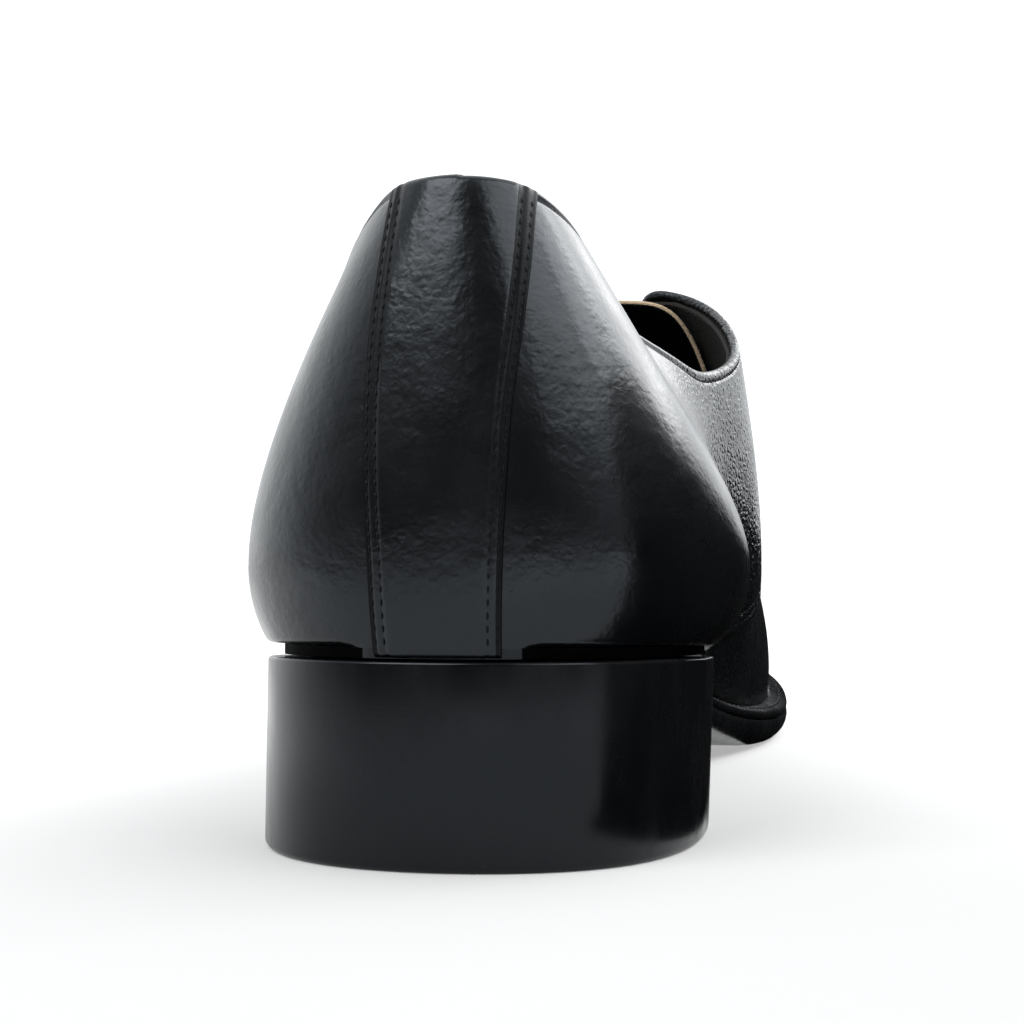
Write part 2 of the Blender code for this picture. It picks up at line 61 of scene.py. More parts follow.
LAST = [
    Section(.0020, .0000, .0000, .0290, .0000, .0145, .1120, 2.20, 2.20, 1.00, .0010, .0010, .015, -.0012),
    Section(.0090, .0198, .0196, .0289, .0000, .0200, .1080, 1.78, 1.92, 1.00, .0026, .0032, .015, -.0012),
    Section(.0300, .0299, .0292, .0283, .0000, .0360, .1040, 1.66, 2.45, 1.00, .0040, .0055, .016, -.0012),
    Section(.0600, .0318, .0294, .0269, .0010, .0620, .1040, 1.42, 2.70, 1.00, .0040, .0064, .017, -.0006),
    Section(.0950, .0362, .0262, .0215, .0020, .0950, .1120, 1.25, 0.28, 0.99, .0030, .0026, .034, 0.0012),
    Section(.1300, .0430, .0270, .0148, .0030, .1300, .1080, 0.75, 0.25, 0.97, .0022, .0085, .036, 0.0018),
    Section(.1650, .0494, .0322, .0099, .0050, .1640, .0885, 0.85, 0.58, 0.95, .0012, .0032, .028, 0.0036),
    Section(.1950, .0514, .0358, .0084, .0060, .1920, .0725, 0.96, 0.88, 0.92, .0008, .0010, .018, 0.0045),
    Section(.2250, .0481, .0366, .0089, .0060, .2180, .0590, 0.94, 0.90, 0.88, .0005, .0006, .015, 0.0045),
    Section(.2530, .0385, .0343, .0110, .0060, .2400, .0508, 0.92, 0.88, 0.85, .0003, .0003, .015, 0.0045),
    Section(.2752, .0252, .0279, .0140, .0052, .2570, .0468, 0.88, 0.88, 0.84, .0002, .0002, .015, 0.0045),
    Section(.2882, .0112, .0184, .0165, .0046, .2660, .0450, 0.86, 0.86, 0.84, .0002, .0002, .015, 0.0045),
    Section(.2915, -.0040, .0040, .0172, .0040, .2690, .0443, 0.86, 0.86, 0.84, .0002, .0002, .015, 0.0045),
]
TOE = len(LAST) - 1
ROUND = 2 * TOE
SOLID_STEPS = 4


def loop_of(lateral, medial):
    """Two columns of LAST as one loop: back of the heel, lateral side, toe, medial side."""
    left = [getattr(row, lateral) for row in LAST]
    right = [getattr(row, medial) for row in LAST]
    return np.array(left + right[-2:0:-1])


def closed_spline(values, places):
    """A periodic cubic through the values at whole-number places, read at the given places."""
    count = len(values)
    neighbours = np.roll(np.eye(count), 1, 0) + np.roll(np.eye(count), -1, 0)
    second = np.roll(values, -1) - 2 * values + np.roll(values, 1)
    bend = np.linalg.solve(4 * np.eye(count) + neighbours, 6 * second)
    start = np.floor(places).astype(int)
    t = places - start
    a = start % count
    b = (start + 1) % count
    straight = (1 - t) * values[a] + t * values[b]
    return straight + ((1 - t) ** 3 - (1 - t)) * bend[a] / 6 + (t**3 - t) * bend[b] / 6


def column(name, places):
    """A column of LAST at places round the shoe; swell and lean have one column for each side."""
    if name in ("swell", "lean"):
        return closed_spline(loop_of(name + "_lateral", name + "_medial"), places)
    return closed_spline(loop_of(name, name), places)


def smooth_table(at, keys, values):
    """A smooth curve through a short table, with slopes from each key's neighbours, straight beyond it."""
    keys = np.array(keys)
    values = np.array(values)
    slopes = np.gradient(values, keys)
    inside = np.clip(at, keys[0], keys[-1])
    start = np.clip(np.searchsorted(keys, inside) - 1, 0, len(keys) - 2)
    span = keys[start + 1] - keys[start]
    t = (inside - keys[start]) / span
    near = (1 + 2 * t) * (1 - t) ** 2 * values[start] + t * (1 - t) ** 2 * span * slopes[start]
    far = t**2 * (3 - 2 * t) * values[start + 1] + t**2 * (t - 1) * span * slopes[start + 1]
    beyond = at - inside
    return near + far + beyond * np.where(beyond < 0, slopes[0], slopes[-1])


def table_curve(at, rows, name):
    """The smooth curve of a table's named column over its first column."""
    return smooth_table(at, [row[0] for row in rows], [getattr(row, name) for row in rows])


def feather_height(y):
    """Height of the feather edge, where upper and sole meet."""
    return table_curve(y, LAST, "feather")


def feather_edge(places):
    """Plan of the feather edge, and its outward direction from a small step along it."""
    x_loop = loop_of("lateral", "medial")
    x_loop[: TOE + 1] *= -1
    y_loop = loop_of("y", "y")
    step = 0.01
    along_x = closed_spline(x_loop, places + step) - closed_spline(x_loop, places - step)
    along_y = closed_spline(y_loop, places + step) - closed_spline(y_loop, places - step)
    length = np.hypot(along_x, along_y)
    x = closed_spline(x_loop, places)
    y = closed_spline(y_loop, places)
    return x, y, -along_y / length, along_x / length


def ring(places, margin, level):
    """A line round the shoe, a margin out of the feather edge, at a height worked out from y."""
    x, y, out_x, out_y = feather_edge(places)
    x = x + out_x * margin
    y = y + out_y * margin
    return np.stack([x, y, level(y)], axis=-1)


def last_point(places, share):
    """A point of the last, from share 0 on the feather edge to share 1 on the ridge.

    Each section is an arch: it comes in by 1 - cos(angle)^lean of the way and climbs by sin(angle)^rise
    of the height. A swell of h exp(1 - h), with h the height over the swell's own, pushes it outwards.
    """
    x, y, out_x, out_y = feather_edge(places)
    low = feather_height(y)
    share = np.clip(share, 0.0, 1.0)
    angle = share * math.pi / 2
    across = 1 - np.cos(angle) ** column("lean", places)
    height = (column("ridge", places) - low) * np.sin(angle) ** column("rise", places)
    relative = height / column("swell_height", places)
    swell = column("swell", places) * relative * np.exp(1 - relative) * (1 - share**8)
    inwards_x = (column("ridge_x", places) - x) * across
    inwards_y = (column("ridge_y", places) - y) * across
    return np.stack([x + inwards_x + out_x * swell, y + inwards_y + out_y * swell, low + height], axis=-1)


def unit(vectors):
    """Vectors of the same directions and of length 1."""
    return vectors / np.linalg.norm(vectors, axis=-1, keepdims=True)


def last_normal(places, share):
    """Outward direction of the last: a small step up its section crossed with one along the shoe."""
    step = 0.004
    inner = np.clip(share, step, 1 - 2 * step)
    up = last_point(places, inner + step) - last_point(places, inner - step)
    along = last_point(places + step, inner) - last_point(places - step, inner)
    return unit(np.cross(up, along))


def lifted(places, share, lift):
    """A point of the last moved out along its normal."""
    return last_point(places, share) + last_normal(places, share) * np.asarray(lift)[..., None]


solid_places = np.arange(0, ROUND, 1 / SOLID_STEPS)
sole_outline = ring(solid_places, column("edge", solid_places), np.zeros_like)[:, :2]
sole_box = np.array(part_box("outsole"))[:, :2]
SHIFT = np.append(sole_box.mean(axis=0) - (sole_outline.min(axis=0) + sole_outline.max(axis=0)) / 2, 0.0)

# Pattern lines
# The lines that a pattern cutter draws on the last: the collar round the ankle, the two edges of the
# throat, and the front edge of the quarters seen from the side. Leather pieces end along them.
Collar = namedtuple("Collar", "y lateral medial")
COLLAR = [
    Collar(.0000, .0914, .0914),
    Collar(.0090, .0908, .0906),
    Collar(.0135, .0903, .0895),
    Collar(.0170, .0895, .0881),
    Collar(.0220, .0868, .0864),
    Collar(.0300, .0838, .0836),
    Collar(.0380, .0802, .0806),
    Collar(.0650, .0735, .0748),
    Collar(.0950, .0705, .0730),
    Collar(.1250, .0778, .0808),
    Collar(.1400, .0872, .0886),
    Collar(.1550, .0962, .0962),
    Collar(.1700, .1040, .1040),
]
Throat = namedtuple("Throat", "y half")
THROAT = [Throat(.140, .0080), Throat(.155, .0074), Throat(.180, .0062), Throat(.230, .0048)]
THROAT_END_Y = 0.2020
TAB_END_Y = 0.2125
SeamPoint = namedtuple("SeamPoint", "y z")
QUARTER_SEAM = [
    SeamPoint(.0700, .0100),
    SeamPoint(.0900, .0222),
    SeamPoint(.1300, .0275),
    SeamPoint(.1650, .0375),
    SeamPoint(.1880, .0480),
    SeamPoint(.2030, .0560),
    SeamPoint(.2100, .0620),
    SeamPoint(TAB_END_Y, .0690),
]
FACING_CORNER = 0.0040
LINE_SAMPLES = 400


def throat_half(y):
    """Half the gap between the two facings."""
    return table_curve(y, THROAT, "half")


def first_crossing(places, inside):
    """Share at which inside(x, y, z, around) first rises above 0 on each section, or else 1."""
    samples = np.linspace(0.0, 1.0, LINE_SAMPLES)
    around, share = np.meshgrid(places, samples, indexing="ij")
    x, y, z = np.moveaxis(last_point(around, share), -1, 0)
    amount = inside(x, y, z, around)
    is_cut = (amount > 0).any(axis=1)
    first = np.argmax(amount > 0, axis=1)
    before = np.maximum(first - 1, 0)
    row = np.arange(len(places))
    past = amount[row, first]
    climb = np.where(is_cut & (first > 0), past - amount[row, before], 1.0)
    crossing = samples[first] - (samples[1] - samples[0]) * np.where(first > 0, past / climb, 0.0)
    return np.where(is_cut, crossing, 1.0)


def edge_share(places, throat_end):
    """Share at which the collar or the throat cuts each section, with a rounded corner between the two."""

    def opening(x, y, z, around):
        lateral = table_curve(y, COLLAR, "lateral")
        medial = table_curve(y, COLLAR, "medial")
        above_collar = z - np.where(around % ROUND < TOE, lateral, medial)
        above_collar[y > COLLAR[-1].y] = -1
        in_throat = throat_half(y) - np.abs(x - column("ridge_x", around))
        in_throat[(y < THROAT[0].y) | (y > throat_end)] = -1
        past_collar = np.maximum(above_collar + FACING_CORNER, 0)
        past_throat = np.maximum(in_throat + FACING_CORNER, 0)
        return np.hypot(past_collar, past_throat) - FACING_CORNER

    return first_crossing(places, opening)


def seam_share(places):
    """Share at which each section comes out above the front edge of the quarters."""

    def above_seam(x, y, z, around):
        return z - table_curve(y, QUARTER_SEAM, "z")

    return first_crossing(places, above_seam)


def place_at(y):
    """Place on the lateral side whose ridge stands at this distance from the back."""
    places = np.linspace(0, TOE, LINE_SAMPLES)
    return np.interp(y, column("ridge_y", places), places)


def over_instep(places, across, lift):
    """Points over the instep: across is 0 on the ridge, -1 on the lateral edge and 1 on the medial."""
    around = np.where(across <= 0, places, ROUND - places)
    return lifted(around, 1 - np.abs(across), lift)


# Insole
# The board that the foot stands on, covered with dark lining leather. It lies inside the upper on the welt,
# and shows only from above.
INSOLE_INSET = 0.0020
INSOLE_THICKNESS = 0.0025
INSOLE_ROUNDING = 0.0006
FINE_STEPS = 16
JOIN_DISTANCE = 0.00001
SHARP_ANGLE = math.radians(42)
GLOSS_TINT = (0.84, 0.92, 1.0, 1.0)
SHAKE = 0.0007


def grid_faces(columns, rows, around=False):
    """Quads of a grid stored column by column; around joins its last column to its first."""
    i = np.arange(columns if around else columns - 1)[:, None]
    k = np.arange(rows - 1)
    a = i * rows + k
    b = (i + 1) % columns * rows + k
    return np.stack([a, a + 1, b + 1, b], axis=-1).reshape(-1, 4)


def make_piece(name, points, faces, material, slot, *nodes, finishes=None):
    """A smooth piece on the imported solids: doubled points are merged, so poles and seams are closed.

    A corner that a face names twice is dropped. Finishes, where given, is each face's material index.
    """
    used, places = np.unique(faces, return_inverse=True)
    corners = [list(dict.fromkeys(face)) for face in places.reshape(faces.shape).tolist()]
    mesh = bpy.data.meshes.new(name)
    mesh.from_pydata((points.reshape(-1, 3)[used] + SHIFT).tolist(), [], corners)
    if finishes is not None:
        mesh.polygons.foreach_set("material_index", finishes.ravel().astype(np.int32))
    work = bmesh.new()
    work.from_mesh(mesh)
    bmesh.ops.remove_doubles(work, verts=work.verts, dist=JOIN_DISTANCE)
    work.to_mesh(mesh)
    work.free()
    mesh.shade_smooth()
    mesh.set_sharp_from_angle(angle=SHARP_ANGLE)
    mesh.materials.append(material)
    piece = bpy.data.objects.new(name, mesh)
    bpy.context.scene.collection.objects.link(piece)
    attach(piece, "root")
    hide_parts(*nodes)
    return piece


def make_plate(name, rings, first_partner, material, slot, *nodes):
    """A closed plate between stacked rings, capped by rungs from point to partner across the shoe."""
    count = len(rings[0])
    rows = len(rings)
    i = np.arange(count // 2)
    rungs = np.stack([i, i + 1, first_partner - i - 1, first_partner - i], axis=-1) % count * rows
    faces = np.concatenate([grid_faces(count, rows, around=True), rungs[:, ::-1], rungs + rows - 1])
    return make_piece(name, np.stack(rings, axis=1), faces, material, slot, *nodes)


def add_node(tree, kind, inputs=None, **settings):
    """A shader node with its settings, and each named input set to a value or linked from a socket."""
    made = tree.nodes.new(kind)
    for key, value in settings.items():
        setattr(made, key, value)
    for key, value in (inputs or {}).items():
        if isinstance(value, bpy.types.NodeSocket):
            tree.links.new(value, made.inputs[key])
        else:
            made.inputs[key].default_value = value
    return made


def noise(tree, vector, scale, detail, roughness=0.5):
    """A noise's value, from 0 to 1."""
    inputs = {"Vector": vector, "Scale": scale, "Detail": detail, "Roughness": roughness}
    return add_node(tree, "ShaderNodeTexNoise", inputs).outputs["Fac"]


def remap(tree, value, start, end, low, high, kind="SMOOTHSTEP"):
    """A value that goes from low to high as another goes from start to end."""
    inputs = {"Value": value, "From Min": start, "From Max": end, "To Min": low, "To Max": high}
    return add_node(tree, "ShaderNodeMapRange", inputs, interpolation_type=kind).outputs["Result"]


def arithmetic(tree, operation, *values):
    """One step of arithmetic on numbers or sockets."""
    return add_node(tree, "ShaderNodeMath", dict(enumerate(values)), operation=operation).outputs[0]


def object_place(tree):
    """Object coordinates."""
    return tree.nodes.new("ShaderNodeTexCoord").outputs["Object"]


def stretched(tree, scale):
    """Object coordinates, scaled along each axis."""
    inputs = {"Vector": object_place(tree), "Scale": scale}
    return add_node(tree, "ShaderNodeMapping", inputs).outputs["Vector"]


def new_finish(name, ior):
    """A material with its node tree and its shader, whose gloss is tinted a little blue."""
    material = bpy.data.materials.new(name)
    material.use_nodes = True
    shader = material.node_tree.nodes["Principled BSDF"]
    shader.inputs["IOR"].default_value = ior
    shader.inputs["Specular Tint"].default_value = GLOSS_TINT
    return material, material.node_tree, shader


def vary_finish(tree, shader, share, dark, light, smooth, rough):
    """Runs colour and roughness between two values each, with a share that changes over the surface."""
    inputs = {"Factor": share, "A": (*dark, 1.0), "B": (*light, 1.0)}
    colour = add_node(tree, "ShaderNodeMix", inputs, data_type="RGBA")
    tree.links.new(colour.outputs["Result"], shader.inputs["Base Color"])
    gloss = remap(tree, share, 0.3, 0.7, smooth, rough, "LINEAR")
    tree.links.new(gloss, shader.inputs["Roughness"])


def add_relief(tree, shader, height, depth):
    """Fine relief from a height, scaled to a depth in metres."""
    bump = add_node(tree, "ShaderNodeBump", {"Height": height, "Distance": depth})
    tree.links.new(bump.outputs["Normal"], shader.inputs["Normal"])


def make_grain():
    """Grain of leather as a group: pebbles with furrows between them, a soft unevenness, and a mottle.

    The pebbles are a Voronoi distance to the nearest border, on coordinates that a noise has shaken, with
    fine pores on top. The unevenness is two slower noises, and the mottle is polish that varies.
    """
    group = bpy.data.node_groups.new("leather_grain", "ShaderNodeTree")
    for name, kind in (("Vector", "Vector"), ("Cells", "Float"), ("Waves", "Float")):
        group.interface.new_socket(name, in_out="INPUT", socket_type="NodeSocket" + kind)
    for name in ("Pebbles", "Uneven", "Mottle"):
        group.interface.new_socket(name, in_out="OUTPUT", socket_type="NodeSocketFloat")
    given = group.nodes.new("NodeGroupInput").outputs
    out = group.nodes.new("NodeGroupOutput").inputs
    vector = given["Vector"]
    shake = add_node(group, "ShaderNodeTexNoise", {"Vector": vector, "Scale": 900.0, "Detail": 2.0})
    inputs = {0: shake.outputs["Color"], 1: (0.5, 0.5, 0.5)}
    centred = add_node(group, "ShaderNodeVectorMath", inputs, operation="SUBTRACT")
    inputs = {0: centred.outputs[0], 1: (SHAKE, SHAKE, SHAKE), 2: vector}
    shaken = add_node(group, "ShaderNodeVectorMath", inputs, operation="MULTIPLY_ADD")
    inputs = {"Vector": shaken.outputs[0], "Scale": given["Cells"]}
    cells = add_node(group, "ShaderNodeTexVoronoi", inputs, feature="DISTANCE_TO_EDGE")
    rounded = remap(group, cells.outputs["Distance"], 0.0, 0.5, 0.0, 1.0)
    pores = noise(group, vector, 3600.0, 3.0)
    group.links.new(arithmetic(group, "MULTIPLY_ADD", pores, 0.08, rounded), out["Pebbles"])
    soft = noise(group, vector, 520.0, 2.0)
    waves = noise(group, vector, given["Waves"], 2.0)
    uneven = arithmetic(group, "MULTIPLY_ADD", waves, 2.0, soft)
    group.links.new(arithmetic(group, "MULTIPLY", uneven, 0.85), out["Uneven"])
    group.links.new(noise(group, vector, 90.0, 4.0), out["Mottle"])
    return group


grain_group = make_grain()


def make_leather(name, dark, light, smooth, rough, depth, cells, waves, ior=1.45):
    """Leather on the grain group: colour and roughness run between two values with the mottle.

    The grain is drawn out lengthwise by lasting. Over the stiffened heel and over the toe the leather is
    pulled smooth, so the pebbles are shallower there than at the waist.
    """
    material, tree, shader = new_finish(name, ior)
    inputs = {"Vector": stretched(tree, (1.0, 0.7, 1.0)), "Cells": cells, "Waves": waves}
    grain = add_node(tree, "ShaderNodeGroup", inputs, node_tree=grain_group).outputs
    vary_finish(tree, shader, grain["Mottle"], dark, light, smooth, rough)
    along = add_node(tree, "ShaderNodeSeparateXYZ", {"Vector": object_place(tree)}).outputs["Y"]
    heel_end = remap(tree, along, -0.088, -0.060, 0.17, 2.2)
    toe_end = remap(tree, along, -0.015, 0.045, 1.0, 0.25)
    pulled = arithmetic(tree, "MULTIPLY", heel_end, toe_end)
    height = arithmetic(tree, "MULTIPLY_ADD", grain["Pebbles"], pulled, grain["Uneven"])
    add_relief(tree, shader, height, depth)
    return material


lining_leather = make_leather(
    "lining_leather", (0.007, 0.006, 0.005), (0.018, 0.016, 0.013), 0.62, 0.78, 0.00006, 1700.0, 120.0
)
fine_places = np.arange(0, ROUND, 1 / FINE_STEPS)
insole_rings = [
    ring(fine_places, -INSOLE_INSET - inset, lambda y, up=up: feather_height(y) + up)
    for inset, up in (
        (INSOLE_ROUNDING, 0.0),
        (0.0, INSOLE_ROUNDING),
        (0.0, INSOLE_THICKNESS - INSOLE_ROUNDING),
        (INSOLE_ROUNDING, INSOLE_THICKNESS),
    )
]
make_plate("insole_board", insole_rings, 0, lining_leather, "lining", "insole")

# Lining
# Thin lining leather that faces the whole inside, from the insole up to the collar and the facings. Its
# cut upper edge is a slightly paler line just inside the rolled collar.
LINING_OUT = -0.0006
LINING_THICKNESS = 0.0008
LINING_BELOW_EDGE = 0.0016
LINING_ROWS = 40


def share_step(places, share, distance):
    """Share that a distance up the section is worth: the distance over the length of one share."""
    step = 0.004
    inner = np.clip(share, step, 1 - step)
    reach = last_point(places, inner + step) - last_point(places, inner - step)
    return distance * 2 * step / np.linalg.norm(reach, axis=-1)


def add_wall(piece, thickness):
    """Gives a sheet its thickness, inwards from the face that shows."""
    wall = piece.modifiers.new("wall", "SOLIDIFY")
    wall.thickness = thickness
    wall.offset = -1.0
    return wall


lining_edge = make_leather(
    "lining_edge", (0.012, 0.010, 0.008), (0.034, 0.029, 0.022), 0.75, 0.9, 0.00008, 2400.0, 400.0
)
lining_top = edge_share(fine_places, THROAT_END_Y)
lining_top = np.where(
    lining_top < 1, lining_top - share_step(fine_places, lining_top, LINING_BELOW_EDGE), lining_top
)
lining_share = lining_top[:, None] * np.linspace(0, 1, LINING_ROWS)
lining_around = np.repeat(fine_places[:, None], LINING_ROWS, axis=1)
lining = make_piece(
    "lining",
    lifted(lining_around, lining_share, LINING_OUT),
    grid_faces(len(fine_places), LINING_ROWS, around=True),
    lining_leather,
    "lining",
    "upper",
)
lining.data.materials.append(lining_edge)
add_wall(lining, LINING_THICKNESS).material_offset_rim = 1

# Vamp
# The front of the upper, one piece of box-finished calf from the waist round the toe, lasted down to the
# welt. The quarters lap over its back edge, and it ends at the foot of the throat.
VAMP_START = 3.5
VAMP_LAP = 0.12
VAMP_LAP_TOP = 0.97
VAMP_COLUMNS = (60, 100)
VAMP_WALL = 0.0005
WING_ROWS = 28
CROWN_ROWS = 16

calf = make_leather(
    "calf", (0.0010, 0.0012, 0.0015), (0.0026, 0.0030, 0.0037), 0.22, 0.31, 0.00008, 850.0, 170.0
)
vamp_back = float(place_at(THROAT_END_Y))
vamp_places = np.concatenate(
    [np.linspace(VAMP_START, vamp_back, VAMP_COLUMNS[0]), np.linspace(vamp_back, TOE, VAMP_COLUMNS[1])[1:]]
)
lap_share = np.minimum(seam_share(np.minimum(vamp_places, vamp_back)) + VAMP_LAP, VAMP_LAP_TOP)
wing = lap_share[:, None] * np.linspace(0, 1, WING_ROWS)
crown = lap_share[:, None] + (1 - lap_share[:, None]) * np.linspace(0, 1, CROWN_ROWS)[1:]
vamp_share = np.concatenate([wing, crown], axis=1)
vamp_across = np.concatenate([vamp_share - 1, 1 - vamp_share[:, -2::-1]], axis=1)
vamp_rows = vamp_across.shape[1]
vamp_points = over_instep(np.repeat(vamp_places[:, None], vamp_rows, axis=1), vamp_across, np.zeros(()))
vamp_faces = grid_faces(len(vamp_places), vamp_rows)
face_row = vamp_faces[:, 0] % vamp_rows
face_column = vamp_faces[:, 0] // vamp_rows
in_wing = (face_row < WING_ROWS - 1) | (face_row >= vamp_rows - WING_ROWS)
vamp_faces = vamp_faces[in_wing | (vamp_places[face_column] >= vamp_back)]
vamp = make_piece("vamp", vamp_points, vamp_faces, calf, "leather", "upper")
add_wall(vamp, VAMP_WALL)

# Quarters
# The two sides of the upper, from the back strap to the lacing tabs. Their front edge is cut and sewn over
# the vamp with two rows; round the collar and down the facings the leather is rolled over and sewn down.
QUARTER_LIFT = 0.0013
QUARTER_WALL = 0.0005
QUARTER_COLUMNS = 260
QUARTER_MIDDLE_ROWS = 44
CUT_EDGE_RADIUS = 0.0008
ROLL_RADIUS = 0.00095
ROLL_BELOW = 0.0009
ROLL_STEPS = 10
ROLL_TUCK = 0.0030
SEAM_ROWS = (0.0018, 0.0036)
SEAM_TROUGH = 0.00030
COLLAR_ROW = 0.0017
COLLAR_TROUGH = 0.00045
TROUGH_WIDTH = 0.00040
FLARE = 0.0010
FLARE_HEIGHT = 0.0050
FLARE_START = 1.05
FLARE_RUN = 1.6
CURL_HEIGHT = 0.0014
CURL_DEPTH = 0.0010
CURL_END_Y = 0.0600
GROOVE_LATERAL_X = -0.0112
GROOVE_MEDIAL_X = 0.0085
GROOVE_FADE = 0.0030
GROOVE_END_FADE = 0.0150
EDGE_DISTANCES = np.array([0, .15, .35, .6, .9, 1.3, 1.8, 2.2, 2.6, 3.0, 3.6, 4.2, 5.0]) / 1000


def trough(distance, middle, depth):
    """A soft furrow that thread pulls into leather: a bell curve across its middle line."""
    return depth * np.exp(-(((distance - middle) / TROUGH_WIDTH) ** 2))


def run_along(path):
    """Distance along a path at each of its points."""
    return np.append(0, np.cumsum(np.linalg.norm(np.diff(path, axis=0), axis=1)))


def quarter_places():
    """Places of a quarter's columns, evenly spread between its upper and its lower edge's length."""
    dense = np.linspace(0, place_at(TAB_END_Y) + 0.6, 700)
    low = seam_share(dense)
    high = edge_share(dense, LAST[-1].y)
    count = np.argmax(low > high - 0.004)
    dense = dense[:count]
    run = sum(run_along(last_point(dense, edge[:count])) for edge in (high, low))
    return np.interp(np.linspace(0, run[-1], QUARTER_COLUMNS), run, dense)


def section_distances(around, low, high):
    """Shares of the rows of each column, close together near both edges and even between them."""
    samples = np.linspace(0, 1, 300)
    share = low[:, None] + (high - low)[:, None] * samples
    points = last_point(np.repeat(around[:, None], len(samples), axis=1), share)
    run = np.cumsum(np.linalg.norm(np.diff(points, axis=1, prepend=points[:, :1]), axis=2), axis=1)
    length = run[:, -1:]
    near = EDGE_DISTANCES * np.minimum(1.0, length / (2.4 * EDGE_DISTANCES[-1]))
    even = np.linspace(0, 1, QUARTER_MIDDLE_ROWS + 2)[1:-1]
    middle = near[:, -1:] + (length - 2 * near[:, -1:]) * even
    from_low = np.concatenate([near, middle, length - near[:, ::-1]], axis=1)
    found = np.stack([np.interp(d, r, s) for d, r, s in zip(from_low, run, share)])
    return found, from_low, length - from_low


def rolled_edge(around, share, out_lift, in_lift, beyond, steps):
    """A rolled edge: half a circle from the outer face over the edge to the inner, then a tuck down it.

    The circle turns about the middle of the two faces, from the surface's normal over the direction that
    lies in the surface square to the edge.
    """
    radius = ((out_lift - in_lift) / 2)[:, None, None]
    middle = lifted(around, share, (out_lift + in_lift) / 2)
    normal = last_normal(around, share)
    step = 0.005
    inner = np.clip(share, 0, 1 - 2 * step)
    up = last_point(around, inner + step) - last_point(around, inner - step)
    along = unit(np.gradient(middle, axis=0))
    outwards = np.cross(along, normal)
    outwards *= np.sign(np.sum(outwards * up, axis=-1, keepdims=True))
    turn = np.linspace(0, math.pi, steps + 1)[1:, None]
    turned = np.cos(turn) * normal[:, None] + np.sin(turn) * unit(outwards)[:, None]
    curve = middle[:, None] + radius * turned
    tuck = share[:, None] - share_step(around, share, 1.0)[:, None] * beyond * np.array([0.4, 1.0])
    inside = lifted(np.repeat(around[:, None], 2, axis=1), tuck, np.repeat(in_lift[:, None], 2, axis=1))
    return np.concatenate([curve, inside], axis=1)


def groove_share(x, y):
    """1 where a groove runs over the heel block, fading to 0 at the middle of the back and at the waist."""
    lateral = np.clip((GROOVE_LATERAL_X - x) / GROOVE_FADE, 0, 1)
    medial = np.clip((x - GROOVE_MEDIAL_X) / GROOVE_FADE, 0, 1)
    return np.maximum(lateral, medial) * np.clip((CURL_END_Y + GROOVE_END_FADE - y) / GROOVE_END_FADE, 0, 1)


def make_quarter(name, side, material, node):
    """Grid of one quarter, and its points and outward directions for the rows of stitches.

    Its height over the last rises round the cut front edge as a quarter circle, sinks a little under each
    row of thread, curls in over the groove at the heel, and turns over collar and facing in the rolled
    edge. Near the back the lateral collar stands out a little, worn open by the foot.
    """
    places = quarter_places()
    around = places if side < 0 else ROUND - places
    low = seam_share(around)
    top = edge_share(around, LAST[-1].y)
    high = np.maximum(top - share_step(around, top, ROLL_BELOW), low + 0.002)
    share, from_low, from_high = section_distances(around, low, high)
    is_sewn = (low > 0)[:, None]
    edge_arc = np.clip(from_low / CUT_EDGE_RADIUS, 0, 1)
    rounded = QUARTER_LIFT * np.sqrt(np.clip(1 - (1 - edge_arc) ** 2, 0, 1))
    lift = np.where(is_sewn, rounded, QUARTER_LIFT)
    lift = lift - np.where(is_sewn, sum(trough(from_low, row, SEAM_TROUGH) for row in SEAM_ROWS), 0.0)
    lift = lift - trough(from_high + ROLL_BELOW, COLLAR_ROW, COLLAR_TROUGH)
    if side < 0:
        shoulder = np.sin(math.pi * np.clip((places - FLARE_START) / FLARE_RUN, 0, 1)) ** 2
        lift = lift + FLARE * shoulder[:, None] * np.exp(-((from_high / FLARE_HEIGHT) ** 2))
    foot = last_point(around, low)
    curl = CURL_DEPTH * groove_share(foot[:, 0], foot[:, 1])[:, None]
    lift = lift - curl * np.clip(1 - from_low / CURL_HEIGHT, 0, 1) ** 2
    grid = np.repeat(around[:, None], share.shape[1], axis=1)
    face = lifted(grid, share, lift)
    roll = rolled_edge(around, high, lift[:, -1], lift[:, -1] - 2 * ROLL_RADIUS, ROLL_TUCK, ROLL_STEPS)
    points = np.concatenate([face, roll], axis=1)
    faces = grid_faces(points.shape[0], points.shape[1])
    if side > 0:
        faces = faces[:, ::-1]
    made = make_piece(name, points, faces, material, "leather", node)
    add_wall(made, QUARTER_WALL)
    return made, face, last_normal(grid, share), from_low, from_high + ROLL_BELOW, low > 0


lateral_quarter, *lateral_lines = make_quarter("lateral_quarter", -1, calf, "quarter_lateral")
medial_quarter, *medial_lines = make_quarter("medial_quarter", 1, calf, "quarter_medial")

# Back strap
# A strip of the same calf that covers the join of the quarters at the heel, wider at the top, cut raw along
# its sides, sewn down with two rows on each and turned over the topline.
STRAP_LIFT = 0.0017
StrapEdge = namedtuple("StrapEdge", "z lateral medial")
STRAP_EDGES = [
    StrapEdge(.0290, -.0100, .0070),
    StrapEdge(.0400, -.0106, .0073),
    StrapEdge(.0500, -.0113, .0077),
    StrapEdge(.0600, -.0116, .0082),
    StrapEdge(.0700, -.0114, .0092),
    StrapEdge(.0800, -.0107, .0099),
    StrapEdge(.0920, -.0098, .0100),
]
STRAP_BELOW = ROLL_BELOW + 0.0004
STRAP_EDGE_RADIUS = 0.0004
StrapBand = namedtuple("StrapBand", "z width")
STRAP_BAND = [StrapBand(.0480, .0008), StrapBand(.0660, .0024)]
STRAP_SEAM_ROWS = (0.0006, 0.0018)
STRAP_TROUGH = 0.00020
STRAP_ROWS = 80
STRAP_MIDDLE = 24
